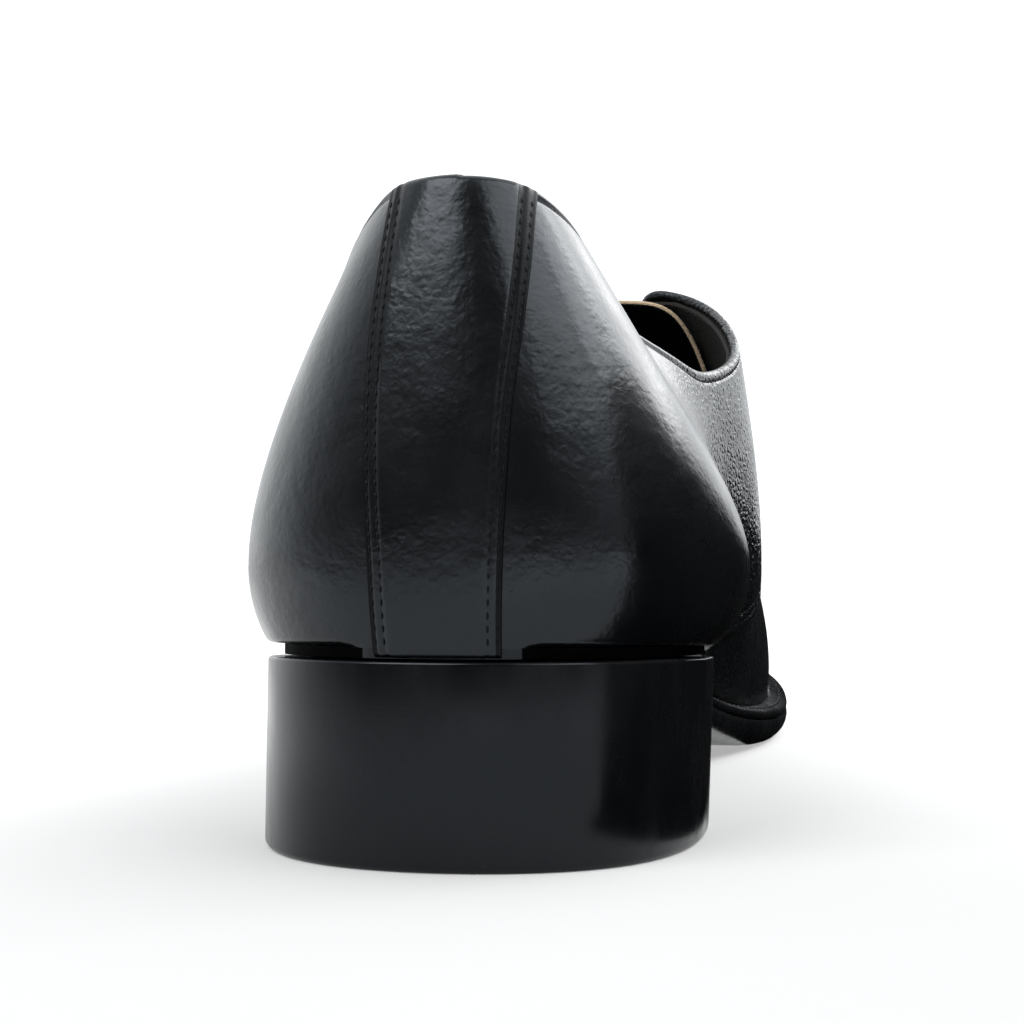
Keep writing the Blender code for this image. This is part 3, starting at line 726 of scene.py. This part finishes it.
STRAP_WALL = 0.0004
STRAP_TURN_IN = 0.0002
StrapHem = namedtuple("StrapHem", "out down")
STRAP_HEM = [StrapHem(-.0016, -.0016), StrapHem(-.0007, -.0013), StrapHem(-.0002, -.0007)]
STRAP_DISTANCES = np.concatenate(
    [[0, .15, .3, .45, .6, .8], np.arange(1.0, 2.9, 0.2), [3.1, 3.5]]
) / 1000


def place_for_x(target, share):
    """Place near the heel's back where a quarter lies this far to the side, by a few Newton steps."""
    places = -target / 0.025
    lift = np.full_like(places, QUARTER_LIFT)
    step = 0.01
    for _ in range(8):
        here = lifted(places, share, lift)[..., 0]
        ahead = lifted(places + step, share, lift)[..., 0]
        places = np.clip(places + step * (target - here) / (ahead - here), -1.9, 1.9)
    return places


# A darker, less glossy calf, given to bands along both sewn edges of the strap that widen towards the top.
seam_band_calf = make_leather(
    "seam_band_calf", (.0010, .0011, .0013), (.0020, .0023, .0028), 0.34, 0.46, 0.00005, 1400.0, 170.0, ior=1.24
)
strap_up = np.linspace(0, 1, STRAP_ROWS)
strap_high = edge_share(np.zeros(1), THROAT_END_Y)
strap_z = last_point(np.zeros(STRAP_ROWS), strap_up * strap_high)[:, 2]
strap_left = table_curve(strap_z, STRAP_EDGES, "lateral")[:, None]
strap_right = table_curve(strap_z, STRAP_EDGES, "medial")[:, None]
strap_inner = np.linspace(0, 1, STRAP_MIDDLE + 2)[1:-1]
strap_between = strap_right - strap_left - 2 * STRAP_DISTANCES[-1]
strap_x = np.concatenate(
    [
        strap_left + STRAP_DISTANCES,
        strap_left + STRAP_DISTANCES[-1] + strap_between * strap_inner,
        strap_right - STRAP_DISTANCES[::-1],
    ],
    axis=1,
)
strap_limit = np.repeat(strap_high, strap_x.shape[1])
for _ in range(3):
    top_places = place_for_x(strap_x[-1], strap_limit)
    strap_limit = edge_share(top_places % ROUND, THROAT_END_Y)
    strap_limit = strap_limit - share_step(top_places, strap_limit, STRAP_BELOW)
strap_share = strap_up[:, None] * strap_limit
strap_places = place_for_x(strap_x, strap_share)
strap_edge = np.minimum(strap_x - strap_left, strap_right - strap_x)
strap_arc = np.clip(strap_edge / STRAP_EDGE_RADIUS, 0, 1)
strap_rise = np.sqrt(np.clip(1 - (1 - strap_arc) ** 2, 0, 1))
strap_lift = QUARTER_LIFT + (STRAP_LIFT - QUARTER_LIFT) * strap_rise
strap_lift = strap_lift - sum(trough(strap_edge, row, STRAP_TROUGH) for row in STRAP_SEAM_ROWS)
strap_face = lifted(strap_places, strap_share, strap_lift).transpose(1, 0, 2)
strap_inside = np.full(strap_x.shape[1], QUARTER_LIFT - 2 * ROLL_RADIUS - STRAP_TURN_IN)
strap_roll = rolled_edge(
    strap_places[-1], strap_share[-1], strap_lift[-1], strap_inside, ROLL_TUCK, ROLL_STEPS
)
strap_normal = last_normal(strap_places, strap_share).transpose(1, 0, 2)
strap_hem = [
    strap_face[:, 0] + strap_normal[:, 0] * hem.out + np.array([0.0, 0.0, hem.down]) for hem in STRAP_HEM
]
strap_points = np.concatenate([np.stack(strap_hem, axis=1), strap_face, strap_roll], axis=1)
band_width = np.interp(strap_z, [row.z for row in STRAP_BAND], [row.width for row in STRAP_BAND])
# Faces that lie within the band's width of either strap edge take the darker, less glossy calf.
in_band = (strap_edge[:, :-1] + strap_edge[:, 1:]) / 2 < band_width[:, None]
strap_finishes = np.concatenate(
    [
        np.repeat(in_band[:1], len(strap_hem), axis=0),
        in_band[:-1],
        np.repeat(in_band[-1:], strap_roll.shape[1], axis=0),
    ]
)
strap = make_piece(
    "heel_strap",
    strap_points,
    grid_faces(strap_points.shape[0], strap_points.shape[1])[:, ::-1],
    calf,
    "leather",
    "back_strap",
    finishes=strap_finishes.T,
)
strap.data.materials.append(seam_band_calf)
add_wall(strap, STRAP_WALL)

# Tongue
# A sheet of calf under the facings that keeps the lace off the foot. It is sewn in under the vamp at its
# foot, and its top edge is left raw, so the tan of the hide shows there.
TONGUE_TOP_Y = 0.1520
TONGUE_FOOT_Y = 0.2090
TONGUE_HALF_TOP = 0.0245
TONGUE_HALF_FOOT = 0.0200
TONGUE_LIFT = -0.0028
TONGUE_WALL = 0.0009
TONGUE_ROWS = 60
TONGUE_STEPS = 60


def across_at(y, side, away):
    """How far across the instep a point lies that is a given distance from the ridge, seen from above."""
    across = np.linspace(0.0, 0.7, LINE_SAMPLES)
    places = np.full_like(across, place_at(y))
    distance = np.abs(over_instep(places, side * across, np.zeros(()))[:, 0] - column("ridge_x", places))
    return side * np.interp(away, distance, across)


raw_edge = make_leather(
    "raw_edge", (0.26, 0.19, 0.12), (0.58, 0.45, 0.30), 0.75, 0.9, 0.00008, 2400.0, 400.0
)
tongue_y = np.linspace(TONGUE_TOP_Y, TONGUE_FOOT_Y, TONGUE_ROWS)
tongue_half = np.linspace(TONGUE_HALF_TOP, TONGUE_HALF_FOOT, TONGUE_ROWS)
tongue_left = np.array([across_at(y, -1, half) for y, half in zip(tongue_y, tongue_half)])
tongue_right = np.array([across_at(y, 1, half) for y, half in zip(tongue_y, tongue_half)])
tongue_width = (tongue_right - tongue_left)[:, None]
tongue_across = tongue_left[:, None] + tongue_width * np.linspace(0, 1, TONGUE_STEPS)
tongue_places = np.repeat(place_at(tongue_y)[:, None], TONGUE_STEPS, axis=1)
tongue = make_piece(
    "tongue_sheet",
    over_instep(tongue_places, tongue_across, TONGUE_LIFT + np.zeros_like(tongue_across)),
    grid_faces(TONGUE_ROWS, TONGUE_STEPS),
    calf,
    "leather",
    "tongue",
)
tongue.data.materials.append(raw_edge)
add_wall(tongue, TONGUE_WALL).material_offset_rim = 1

# Stitching
# Waxed black thread: two rows along each side of the strap and along the front edge of the quarters, and
# one row under the rolled collar and down the facings. Each stitch is a short rod, its ends in the leather.
STITCH_PITCH = 0.0017
STITCH_LENGTH = 0.00145
STITCH_RADIUS = 0.00016
COLLAR_STITCH_RADIUS = 0.00026
COLLAR_ROW_START = 0.0010
COLLAR_ROW_END = 6
STITCH_PROUD = 0.25
STITCH_BEND = 1.2
ROD_RINGS = 5
ROD_SIDES = 6

thread = make_leather(
    "thread", (.0014, .0015, .0017), (.0040, .0042, .0046), 0.42, 0.55, 0.00003, 5200.0, 900.0, ior=1.25
)


def read_along(at, run, values):
    """Points or directions of a path at the given distances along it."""
    return np.stack([np.interp(at, run, values[:, k]) for k in range(3)], axis=-1)


def stitch_rods(path, outward, pitch, length, radius):
    """Rods along a path: each bends down by the square of its run, and thins to a point at both ends."""
    run = run_along(path)
    starts = (np.arange(int(run[-1] // pitch)) + 0.5) * pitch
    t = np.linspace(-1, 1, ROD_RINGS)
    at = starts[:, None] + t * length / 2
    centre = read_along(at, run, path)
    out = unit(read_along(at, run, outward))
    side = unit(np.cross(np.gradient(centre, axis=1), out))
    middle = centre + out * (radius * (STITCH_PROUD - STITCH_BEND * t**2))[:, None]
    width = radius * np.sqrt(1 - t**2)[:, None, None]
    angle = np.arange(ROD_SIDES) * 2 * math.pi / ROD_SIDES
    turned = np.cos(angle)[:, None] * side[:, :, None] + np.sin(angle)[:, None] * out[:, :, None]
    return middle[:, :, None] + width * turned


def make_stitches(name, rows, pitch, length, radius):
    """One mesh of all the rods of several rows, each row a path with its outward directions."""
    rods = np.concatenate([stitch_rods(path, outward, pitch, length, radius) for path, outward in rows])
    one = grid_faces(ROD_SIDES, ROD_RINGS, around=True)
    side, row = one % (ROD_SIDES * ROD_RINGS) // ROD_RINGS, one % ROD_RINGS
    one = row * ROD_SIDES + side
    faces = (np.arange(len(rods))[:, None, None] * ROD_SIDES * ROD_RINGS + one).reshape(-1, 4)
    return make_piece(name, rods, faces, thread, "lace")


def seam_rows(lines):
    """The two rows of thread along a quarter's sewn front edge."""
    face, normal, from_low, _, is_sewn = lines
    columns = [np.argmin(np.abs(from_low[len(from_low) // 2] - distance)) for distance in SEAM_ROWS]
    return [(face[is_sewn, k], normal[is_sewn, k]) for k in columns]


def collar_rows(lines):
    """The row of thread below a quarter's rolled edge, from the back strap to the foot of the facing."""
    face, normal, _, from_high, _ = lines
    k = np.argmin(np.abs(from_high[len(from_high) // 2] - COLLAR_ROW))
    beside_strap = np.abs(face[:, k, 0]) > STRAP_EDGES[-1].medial + COLLAR_ROW_START
    return [(face[beside_strap, k][:-COLLAR_ROW_END], normal[beside_strap, k][:-COLLAR_ROW_END])]


strap_columns = [np.argmin(np.abs(STRAP_DISTANCES - row)) for row in STRAP_SEAM_ROWS]
strap_columns = strap_columns + [strap_points.shape[0] - 1 - k for k in strap_columns]
strap_rows = [(strap_face[k], strap_normal[k]) for k in strap_columns]
for name, rows, radius in (
    ("quarter_stitches", seam_rows(lateral_lines) + seam_rows(medial_lines), STITCH_RADIUS),
    ("collar_stitches", collar_rows(lateral_lines) + collar_rows(medial_lines), COLLAR_STITCH_RADIUS),
    ("strap_stitches", strap_rows, STITCH_RADIUS),
):
    make_stitches(name, rows, STITCH_PITCH, STITCH_LENGTH, radius)

# Eyelets and lace
# Five plain holes punched through each tab, and one round waxed cord laced in straight bars. It goes over
# the tongue from hole to hole and climbs to the next pair under the facings; both ends hide there.
EYELET_ROWS = 5
EYELET_FIRST_Y = 0.1600
EYELET_LAST_Y = 0.2000
EYELET_INSET = 0.0075
EYELET_RADIUS = 0.0019
PUNCH_DEPTH = 0.012
PUNCH_SIDES = 24
LACE_RADIUS = 0.0013
LACE_HIDDEN_RADIUS = 0.0007
LACE_OVER = QUARTER_LIFT + 0.0012
LACE_UNDER = -0.0021
LACE_SIDES = 12
LACE_STEP = 0.0004
LACE_EASE = 4
LACE_LEAN = (0.60, 0.60, 0.53)
LEG_STEPS = 40

eyelet_y = np.linspace(EYELET_FIRST_Y, EYELET_LAST_Y, EYELET_ROWS)
eyelet_across = {
    side: np.array([across_at(y, side, throat_half(y) + EYELET_INSET) for y in eyelet_y])
    for side in (-1, 1)
}


def punch_eyelets(piece, side):
    """Cuts the holes of one quarter with pins square to its face, and keeps the cut mesh."""
    work = bmesh.new()
    for y, across in zip(eyelet_y, eyelet_across[side]):
        place = np.array(place_at(y))
        centre = over_instep(place, np.array(across), np.zeros(()))
        outwards = over_instep(place, np.array(across), np.ones(())) - centre
        pin = bmesh.ops.create_cone(
            work,
            cap_ends=True,
            segments=PUNCH_SIDES,
            radius1=EYELET_RADIUS,
            radius2=EYELET_RADIUS,
            depth=PUNCH_DEPTH,
        )
        turn = Vector(outwards).to_track_quat("Z", "Y").to_matrix().to_4x4()
        bmesh.ops.transform(work, matrix=turn, verts=pin["verts"])
        bmesh.ops.translate(work, vec=Vector(centre + SHIFT), verts=pin["verts"])
    pins = bpy.data.objects.new("eyelet_pins", bpy.data.meshes.new("eyelet_pins"))
    work.to_mesh(pins.data)
    work.free()
    bpy.context.scene.collection.objects.link(pins)
    cut = piece.modifiers.new("eyelets", "BOOLEAN")
    cut.object = pins
    bpy.context.view_layer.update()
    seen = piece.evaluated_get(bpy.context.evaluated_depsgraph_get())
    mesh = bpy.data.meshes.new_from_object(seen)
    piece.modifiers.clear()
    piece.data = mesh
    mesh.set_sharp_from_angle(angle=SHARP_ANGLE)
    bpy.data.objects.remove(pins)


punch_eyelets(lateral_quarter, -1)
punch_eyelets(medial_quarter, 1)

stops = []
for index in reversed(range(EYELET_ROWS)):
    first = -1 if (EYELET_ROWS - 1 - index) % 2 == 0 else 1
    for side, is_start in ((first, True), (-first, False)):
        hole = eyelet_across[side][index]
        lifts = (LACE_UNDER, LACE_OVER) if is_start else (LACE_OVER, LACE_UNDER)
        stops += [(eyelet_y[index], hole, lift) for lift in lifts]
stop_y, stop_across, stop_lift = np.array(stops).T
between = np.linspace(0, 1, LEG_STEPS, endpoint=False)


def along_stops(values):
    """Values at even steps from each stop to the next."""
    return np.append((values[:-1, None] + np.diff(values)[:, None] * between).ravel(), values[-1])


lace_lift = along_stops(stop_lift)
lace_path = over_instep(place_at(along_stops(stop_y)), along_stops(stop_across), lace_lift)
lace_run = run_along(lace_path)
lace_at = np.arange(0, lace_run[-1], LACE_STEP)
lace_path = read_along(lace_at, lace_run, lace_path)
ease = np.exp(-0.5 * (np.arange(-3 * LACE_EASE, 3 * LACE_EASE + 1) / (0.6 * LACE_EASE)) ** 2)
padded = np.pad(lace_path, ((3 * LACE_EASE, 3 * LACE_EASE), (0, 0)), mode="edge")
ease = ease / ease.sum()
lace_path = np.stack([np.convolve(padded[:, k], ease, mode="valid") for k in range(3)], axis=-1)
lace_radius = np.interp(
    np.interp(lace_at, lace_run, lace_lift), [LACE_UNDER, 0.0], [LACE_HIDDEN_RADIUS, LACE_RADIUS]
)
lace_radius[[0, -1]] = 0.0
lace_along = unit(np.gradient(lace_path, axis=0))
lace_side = unit(np.cross(lace_along, unit(np.array(LACE_LEAN))))
lace_up = np.cross(lace_side, lace_along)
lace_angle = np.arange(LACE_SIDES)[:, None, None] * 2 * math.pi / LACE_SIDES
lace_out = np.cos(lace_angle) * lace_side + np.sin(lace_angle) * lace_up
lace_points = lace_path + lace_radius[:, None] * lace_out
cord = make_leather(
    "waxed_cord", (0.008, 0.008, 0.009), (0.020, 0.020, 0.022), 0.5, 0.7, 0.00012, 1900.0, 600.0
)
make_piece(
    "lace",
    lace_points,
    grid_faces(LACE_SIDES, len(lace_path), around=True),
    cord,
    "lace",
    *[f"lace_bar_{index}" for index in range(1, EYELET_ROWS + 1)],
)

# Welt
# A strip of dense black leather sewn round the forepart between upper and outsole. Its top slopes down
# from the upper to a rounded edge, and a row of thread runs along it.
GAP = 0.0003
WELT_START = 3.5
WELT_THICKNESS = 0.0026
WELT_INNER_REACH = 0.0060
WELT_TAPER = 0.35
WELT_COLUMNS = 360
WELT_ROW_SAMPLES = 800
WELT_ROW_SINK = 0.22
WELT_SECTION = [
    (0.00, 0.00), (0.94, 0.00), (0.985, 0.10), (1.00, 0.28), (0.99, 0.46), (0.955, 0.60), (0.88, 0.72),
    (0.76, 0.88), (0.66, 1.00), (0.58, 1.06), (0.50, 1.00), (0.00, 1.00),
]
OUTSOLE_THICKNESS = 0.0054
HEEL_SEAT_THICKNESS = 0.0014
SOLE_GROWS_FROM_Y = 0.0615
SOLE_FULL_FROM_Y = 0.0800
WELT_ROW_OUT = 0.0018
WELT_PITCH = 0.0034
WELT_STITCH = 0.0029
WELT_THREAD_RADIUS = 0.00034


def grown_share(y):
    """0 over the heel seat and 1 where outsole and welt are fully thick, with a smooth step between."""
    t = np.clip((y - SOLE_GROWS_FROM_Y) / (SOLE_FULL_FROM_Y - SOLE_GROWS_FROM_Y), 0, 1)
    return t * t * (3 - 2 * t)


def sole_top(y):
    """Top of the outsole: under the upper at the heel, and under the welt in front."""
    return feather_height(y) - GAP - grown_share(y) * (WELT_THICKNESS + GAP)


def sole_under(y):
    """Underside of the outsole, cut level where it meets the floor."""
    thickness = HEEL_SEAT_THICKNESS + grown_share(y) * (OUTSOLE_THICKNESS - HEEL_SEAT_THICKNESS)
    return np.maximum(0.0, sole_top(y) - thickness)


def make_sole_finish(name, dark, light, smooth, rough, depth, ior):
    """Burnished sole edge: a slow mottle of colour and gloss, rubbed upright, with fine ironed lines."""
    material, tree, shader = new_finish(name, ior)
    smudge = noise(tree, stretched(tree, (1.6, 1.6, 0.6)), 70.0, 5.0, 0.6)
    vary_finish(tree, shader, smudge, dark, light, smooth, rough)
    lines = noise(tree, stretched(tree, (0.05, 0.05, 1.0)), 2600.0, 3.0)
    add_relief(tree, shader, lines, depth)
    return material


sole_edge = make_sole_finish(
    "sole_edge", (0.0012, 0.0014, 0.0016), (0.0030, 0.0033, 0.0039), 0.22, 0.34, 0.000006, 1.42
)
welt_places = np.linspace(WELT_START, ROUND - WELT_START, WELT_COLUMNS)
welt_ends = np.minimum(welt_places - WELT_START, ROUND - WELT_START - welt_places)
welt_size = np.sqrt(np.clip(welt_ends / WELT_TAPER, 0, 1))
welt_width = column("edge", welt_places) + WELT_INNER_REACH
welt_rings = []
for out, up in WELT_SECTION:
    margin = welt_width * (1 + (out - 1) * welt_size) - WELT_INNER_REACH
    outline = ring(welt_places, margin, sole_top)
    top = feather_height(outline[:, 1]) - sole_top(outline[:, 1]) - 2 * GAP
    outline[:, 2] += GAP + top * up * welt_size
    welt_rings.append(outline)
welt_points = np.stack(welt_rings + welt_rings[:1], axis=1)
make_piece(
    "welt_strip", welt_points, grid_faces(*welt_points.shape[:2])[:, ::-1], sole_edge, "sole", "welt"
)
row_start = WELT_START + WELT_TAPER
row_places = np.linspace(row_start, ROUND - row_start, WELT_ROW_SAMPLES)
row_path = ring(row_places, column("edge", row_places) - WELT_ROW_OUT, feather_height)
row_path[:, 2] -= GAP + WELT_ROW_SINK * WELT_THICKNESS
row_up = np.zeros_like(row_path)
row_up[:, 2] = 1.0
make_stitches("welt_stitches", [(row_path, row_up)], WELT_PITCH, WELT_STITCH, WELT_THREAD_RADIUS)

# Outsole
# One plate of black sole leather, full at forepart and waist with a strongly rounded lower edge, arched
# under the waist, sprung at the toe, and skived thin and drawn in where it runs over the heel block.
SEAT_OUT = 0.0011
GROOVE_DEPTH = 0.0007
SoleEdge = namedtuple("SoleEdge", "inset up")
SOLE_EDGE = [
    SoleEdge(.0050, 0.00), SoleEdge(.0038, 0.02), SoleEdge(.0028, 0.07), SoleEdge(.0019, 0.15),
    SoleEdge(.0012, 0.26), SoleEdge(.0006, 0.40), SoleEdge(.0002, 0.57), SoleEdge(.0000, 0.75),
    SoleEdge(.0001, 0.90), SoleEdge(.0004, 1.00),
]
seat_x, seat_y, *_ = feather_edge(fine_places)
sole_roundness = grown_share(seat_y)
seat_out = SEAT_OUT - GROOVE_DEPTH * groove_share(seat_x, seat_y)
sole_edge_out = column("edge", fine_places) + seat_out * (1 - sole_roundness)
sole_rings = [
    ring(
        fine_places,
        sole_edge_out - point.inset * sole_roundness,
        lambda y, up=point.up: sole_under(y) + (sole_top(y) - sole_under(y)) * up,
    )
    for point in SOLE_EDGE
]
outsole = make_plate("outsole_plate", sole_rings, 0, sole_edge, "sole", "outsole")
# The outsole's faces in the groove over the heel block take a second finish, near black, matt and almost
# without gloss: painted shade in the groove.
outsole.data.materials.append(
    make_sole_finish("painted_groove_shade", (.0008, .0008, .0010), (.0016, .0016, .0018), 0.7, 0.9, 0.00002, 1.12)
)
face_middles = np.empty((len(outsole.data.polygons), 3))
outsole.data.polygons.foreach_get("center", face_middles.ravel())
middle_x, middle_y, _ = (face_middles - SHIFT).T
in_groove = (groove_share(middle_x, middle_y) > 0.3) & (middle_y < SOLE_GROWS_FROM_Y)
outsole.data.polygons.foreach_set("material_index", in_groove.astype(np.int32))

# Heel block
# A stacked heel finished smooth and black as one block, straight across its breast. It stands out of the
# seat at both sides, so a groove runs over it there, dark from its depth and from painted shade in it.
HEEL_BREAST = 3
HEEL_MARGIN = 0.0015
HEEL_LOWER_ROUND = 0.0009
HEEL_UPPER_ROUND = 0.0005
HEEL_BACK_PITCH = 0.0010
HEEL_LATERAL_FLARE = 0.0007
HEEL_MEDIAL_UNDERCUT = 0.0009
ROUND_STEPS = 5

heel_finish = make_sole_finish(
    "heel_finish", (0.0006, 0.0008, 0.0010), (0.0036, 0.0040, 0.0048), 0.16, 0.34, 0.000003, 1.36
)
heel_places = np.linspace(-HEEL_BREAST, HEEL_BREAST, 2 * HEEL_BREAST * FINE_STEPS * 2 + 1)
heel_x, _, _, heel_out_y = feather_edge(heel_places)
heel_side = heel_x / LAST[HEEL_BREAST].lateral
heel_foot = np.where(heel_side < 0, -heel_side * HEEL_LATERAL_FLARE, -heel_side * HEEL_MEDIAL_UNDERCUT)
heel_foot = HEEL_MARGIN + heel_foot - HEEL_BACK_PITCH * np.clip(-heel_out_y, 0, 1)
heel_turn = np.linspace(0, math.pi / 2, ROUND_STEPS)
heel_rings = [
    ring(
        heel_places,
        heel_foot - HEEL_LOWER_ROUND * (1 - math.sin(turn)),
        lambda y, turn=turn: np.full_like(y, HEEL_LOWER_ROUND * (1 - math.cos(turn))),
    )
    for turn in heel_turn
] + [
    ring(
        heel_places,
        HEEL_MARGIN - HEEL_UPPER_ROUND * (1 - math.cos(turn)),
        lambda y, turn=turn: sole_under(y) - GAP - HEEL_UPPER_ROUND * (1 - math.sin(turn)),
    )
    for turn in heel_turn
]
make_plate("heel_stack", heel_rings, len(heel_places) - 1, heel_finish, "sole", "heel_block")

# Floor
# A plain pale matt studio floor that runs out far beyond the picture. It glows a little with painted light
# of its own, more in front of the shoe and far behind the camera.
FLOOR_HALF = 60.0


def matt_paint(name, grey):
    """A plain grey without gloss, and its shader."""
    paint = bpy.data.materials.new(name)
    paint.use_nodes = True
    shader = paint.node_tree.nodes["Principled BSDF"]
    shader.inputs["Base Color"].default_value = (grey, grey, grey, 1.0)
    shader.inputs["Roughness"].default_value = 0.9
    shader.inputs["Specular IOR Level"].default_value = 0.0
    return paint, shader


def make_stage(name, corners, faces, paint):
    """A piece of the studio, which isn't part of the shoe."""
    mesh = bpy.data.meshes.new(name)
    mesh.from_pydata(corners, [], faces)
    mesh.materials.append(paint)
    made = bpy.data.objects.new(name, mesh)
    bpy.context.scene.collection.objects.link(made)
    return made


floor_paint, floor_shader = matt_paint("floor_paint", 0.52)
floor_tree = floor_paint.node_tree
inputs = {0: object_place(floor_tree), 1: (-0.6, 0.8, 0.0)}
ahead = add_node(floor_tree, "ShaderNodeVectorMath", inputs, operation="DOT_PRODUCT").outputs["Value"]
front_glow = remap(floor_tree, ahead, -0.24, 0.14, 0.0, 0.6)
back_glow = remap(floor_tree, ahead, -0.30, -0.75, 0.0, 1.2)
floor_glow = arithmetic(floor_tree, "ADD", front_glow, back_glow)
floor_shader.inputs["Emission Color"].default_value = (1.0, 1.0, 1.0, 1.0)
floor_tree.links.new(floor_glow, floor_shader.inputs["Emission Strength"])
floor_corners = [(x * FLOOR_HALF, y * FLOOR_HALF, 0.0) for x, y in ((-1, -1), (1, -1), (1, 1), (-1, 1))]
make_stage("floor", floor_corners, [(0, 1, 2, 3)], floor_paint)

# Light
# A bright white surround in front of the toe that wraps the shoe's sides, a dim room behind the camera,
# soft panels high on both sides, and a black flag low on the inner side that keeps the gloss dark there.
FlagPost = namedtuple("FlagPost", "y foot_x top_x top_z")
FLAG = [
    FlagPost(-.002, .0490, .0560, .0720),
    FlagPost(.018, .0490, .0560, .0880),
    FlagPost(.042, .0490, .0570, .0880),
    FlagPost(.068, .0500, .0600, .0730),
    FlagPost(.110, .0550, .0680, .0660),
    FlagPost(.150, .0550, .0780, .0680),
    FlagPost(.200, .0490, .0740, .0560),
    FlagPost(.260, .0500, .0640, .0480),
    FlagPost(.300, .0340, .0380, .0440),
]
FLAG_INNER_X = 0.0330
FLAG_FOOT_Z = 0.0002

Panel = namedtuple("Panel", "name place width height power")
PANELS = [
    Panel("left_panel", (-0.58, -0.92, 1.17), 1.02, 0.80, 15.5),
    Panel("right_panel", (0.90, -0.68, 1.13), 1.10, 0.85, 8.6),
    Panel("side_panel", (1.10, 0.35, 1.07), 1.10, 0.56, 8.7),
    Panel("front_panel", (0.72, 1.05, 0.85), 1.04, 0.80, 7.5),
]
PANEL_TARGET = Vector((0.0, -0.1, 0.05))

world = bpy.data.worlds.new("studio")
bpy.context.scene.world = world
world.use_nodes = True
sky = world.node_tree
sky_place = sky.nodes.new("ShaderNodeTexCoord").outputs["Generated"]
sky_y = add_node(sky, "ShaderNodeSeparateXYZ", {"Vector": sky_place}).outputs["Y"]
sky_seen = sky.nodes.new("ShaderNodeLightPath").outputs["Is Camera Ray"]
sky_strength = arithmetic(sky, "MAXIMUM", remap(sky, sky_y, -0.78, 0.55, 0.05, 1.5), sky_seen)
sky.nodes["Background"].inputs["Color"].default_value = (0.96, 0.985, 1.0, 1.0)
sky.links.new(sky_strength, sky.nodes["Background"].inputs["Strength"])

for row in PANELS:
    light = bpy.data.lights.new(row.name, "AREA")
    light.shape = "RECTANGLE"
    light.size = row.width
    light.size_y = row.height
    light.energy = row.power
    panel = bpy.data.objects.new(row.name, light)
    panel.location = row.place
    panel.rotation_euler = (PANEL_TARGET - Vector(row.place)).to_track_quat("-Z", "Y").to_euler()
    panel.visible_camera = False
    bpy.context.scene.collection.objects.link(panel)

flag_rows = [
    [
        (FLAG_INNER_X, post.y, FLAG_FOOT_Z),
        (post.foot_x, post.y, FLAG_FOOT_Z),
        (post.top_x, post.y, post.top_z),
    ]
    for post in FLAG
]
flag_corners = np.array(flag_rows).reshape(-1, 3) + SHIFT
flag_paint, _ = matt_paint("flag_paint", 0.002)
flag = make_stage("flag", flag_corners.tolist(), grid_faces(len(FLAG), 3).tolist(), flag_paint)
flag.visible_camera = False
flag.visible_diffuse = False
flag.visible_shadow = False

# Camera
# Low behind the heel, a little to the inner side, at the photograph's place and angle to the shoe.
CAMERA_PLACE = np.array([0.0443, -0.2340, 0.0394]) + SHIFT
CAMERA_YAW = math.radians(8.7)
CAMERA_PITCH = math.radians(1.6)
CAMERA_LENS = 66.0

lens = bpy.data.cameras.new("camera")
lens.lens = CAMERA_LENS
lens.sensor_width = 36.0
lens.clip_start = 0.01
camera = bpy.data.objects.new("camera", lens)
camera.location = CAMERA_PLACE
camera.rotation_euler = (math.pi / 2 + CAMERA_PITCH, 0.0, CAMERA_YAW)
bpy.context.scene.collection.objects.link(camera)
bpy.context.scene.camera = camera
bpy.context.scene.view_settings.view_transform = "Standard"
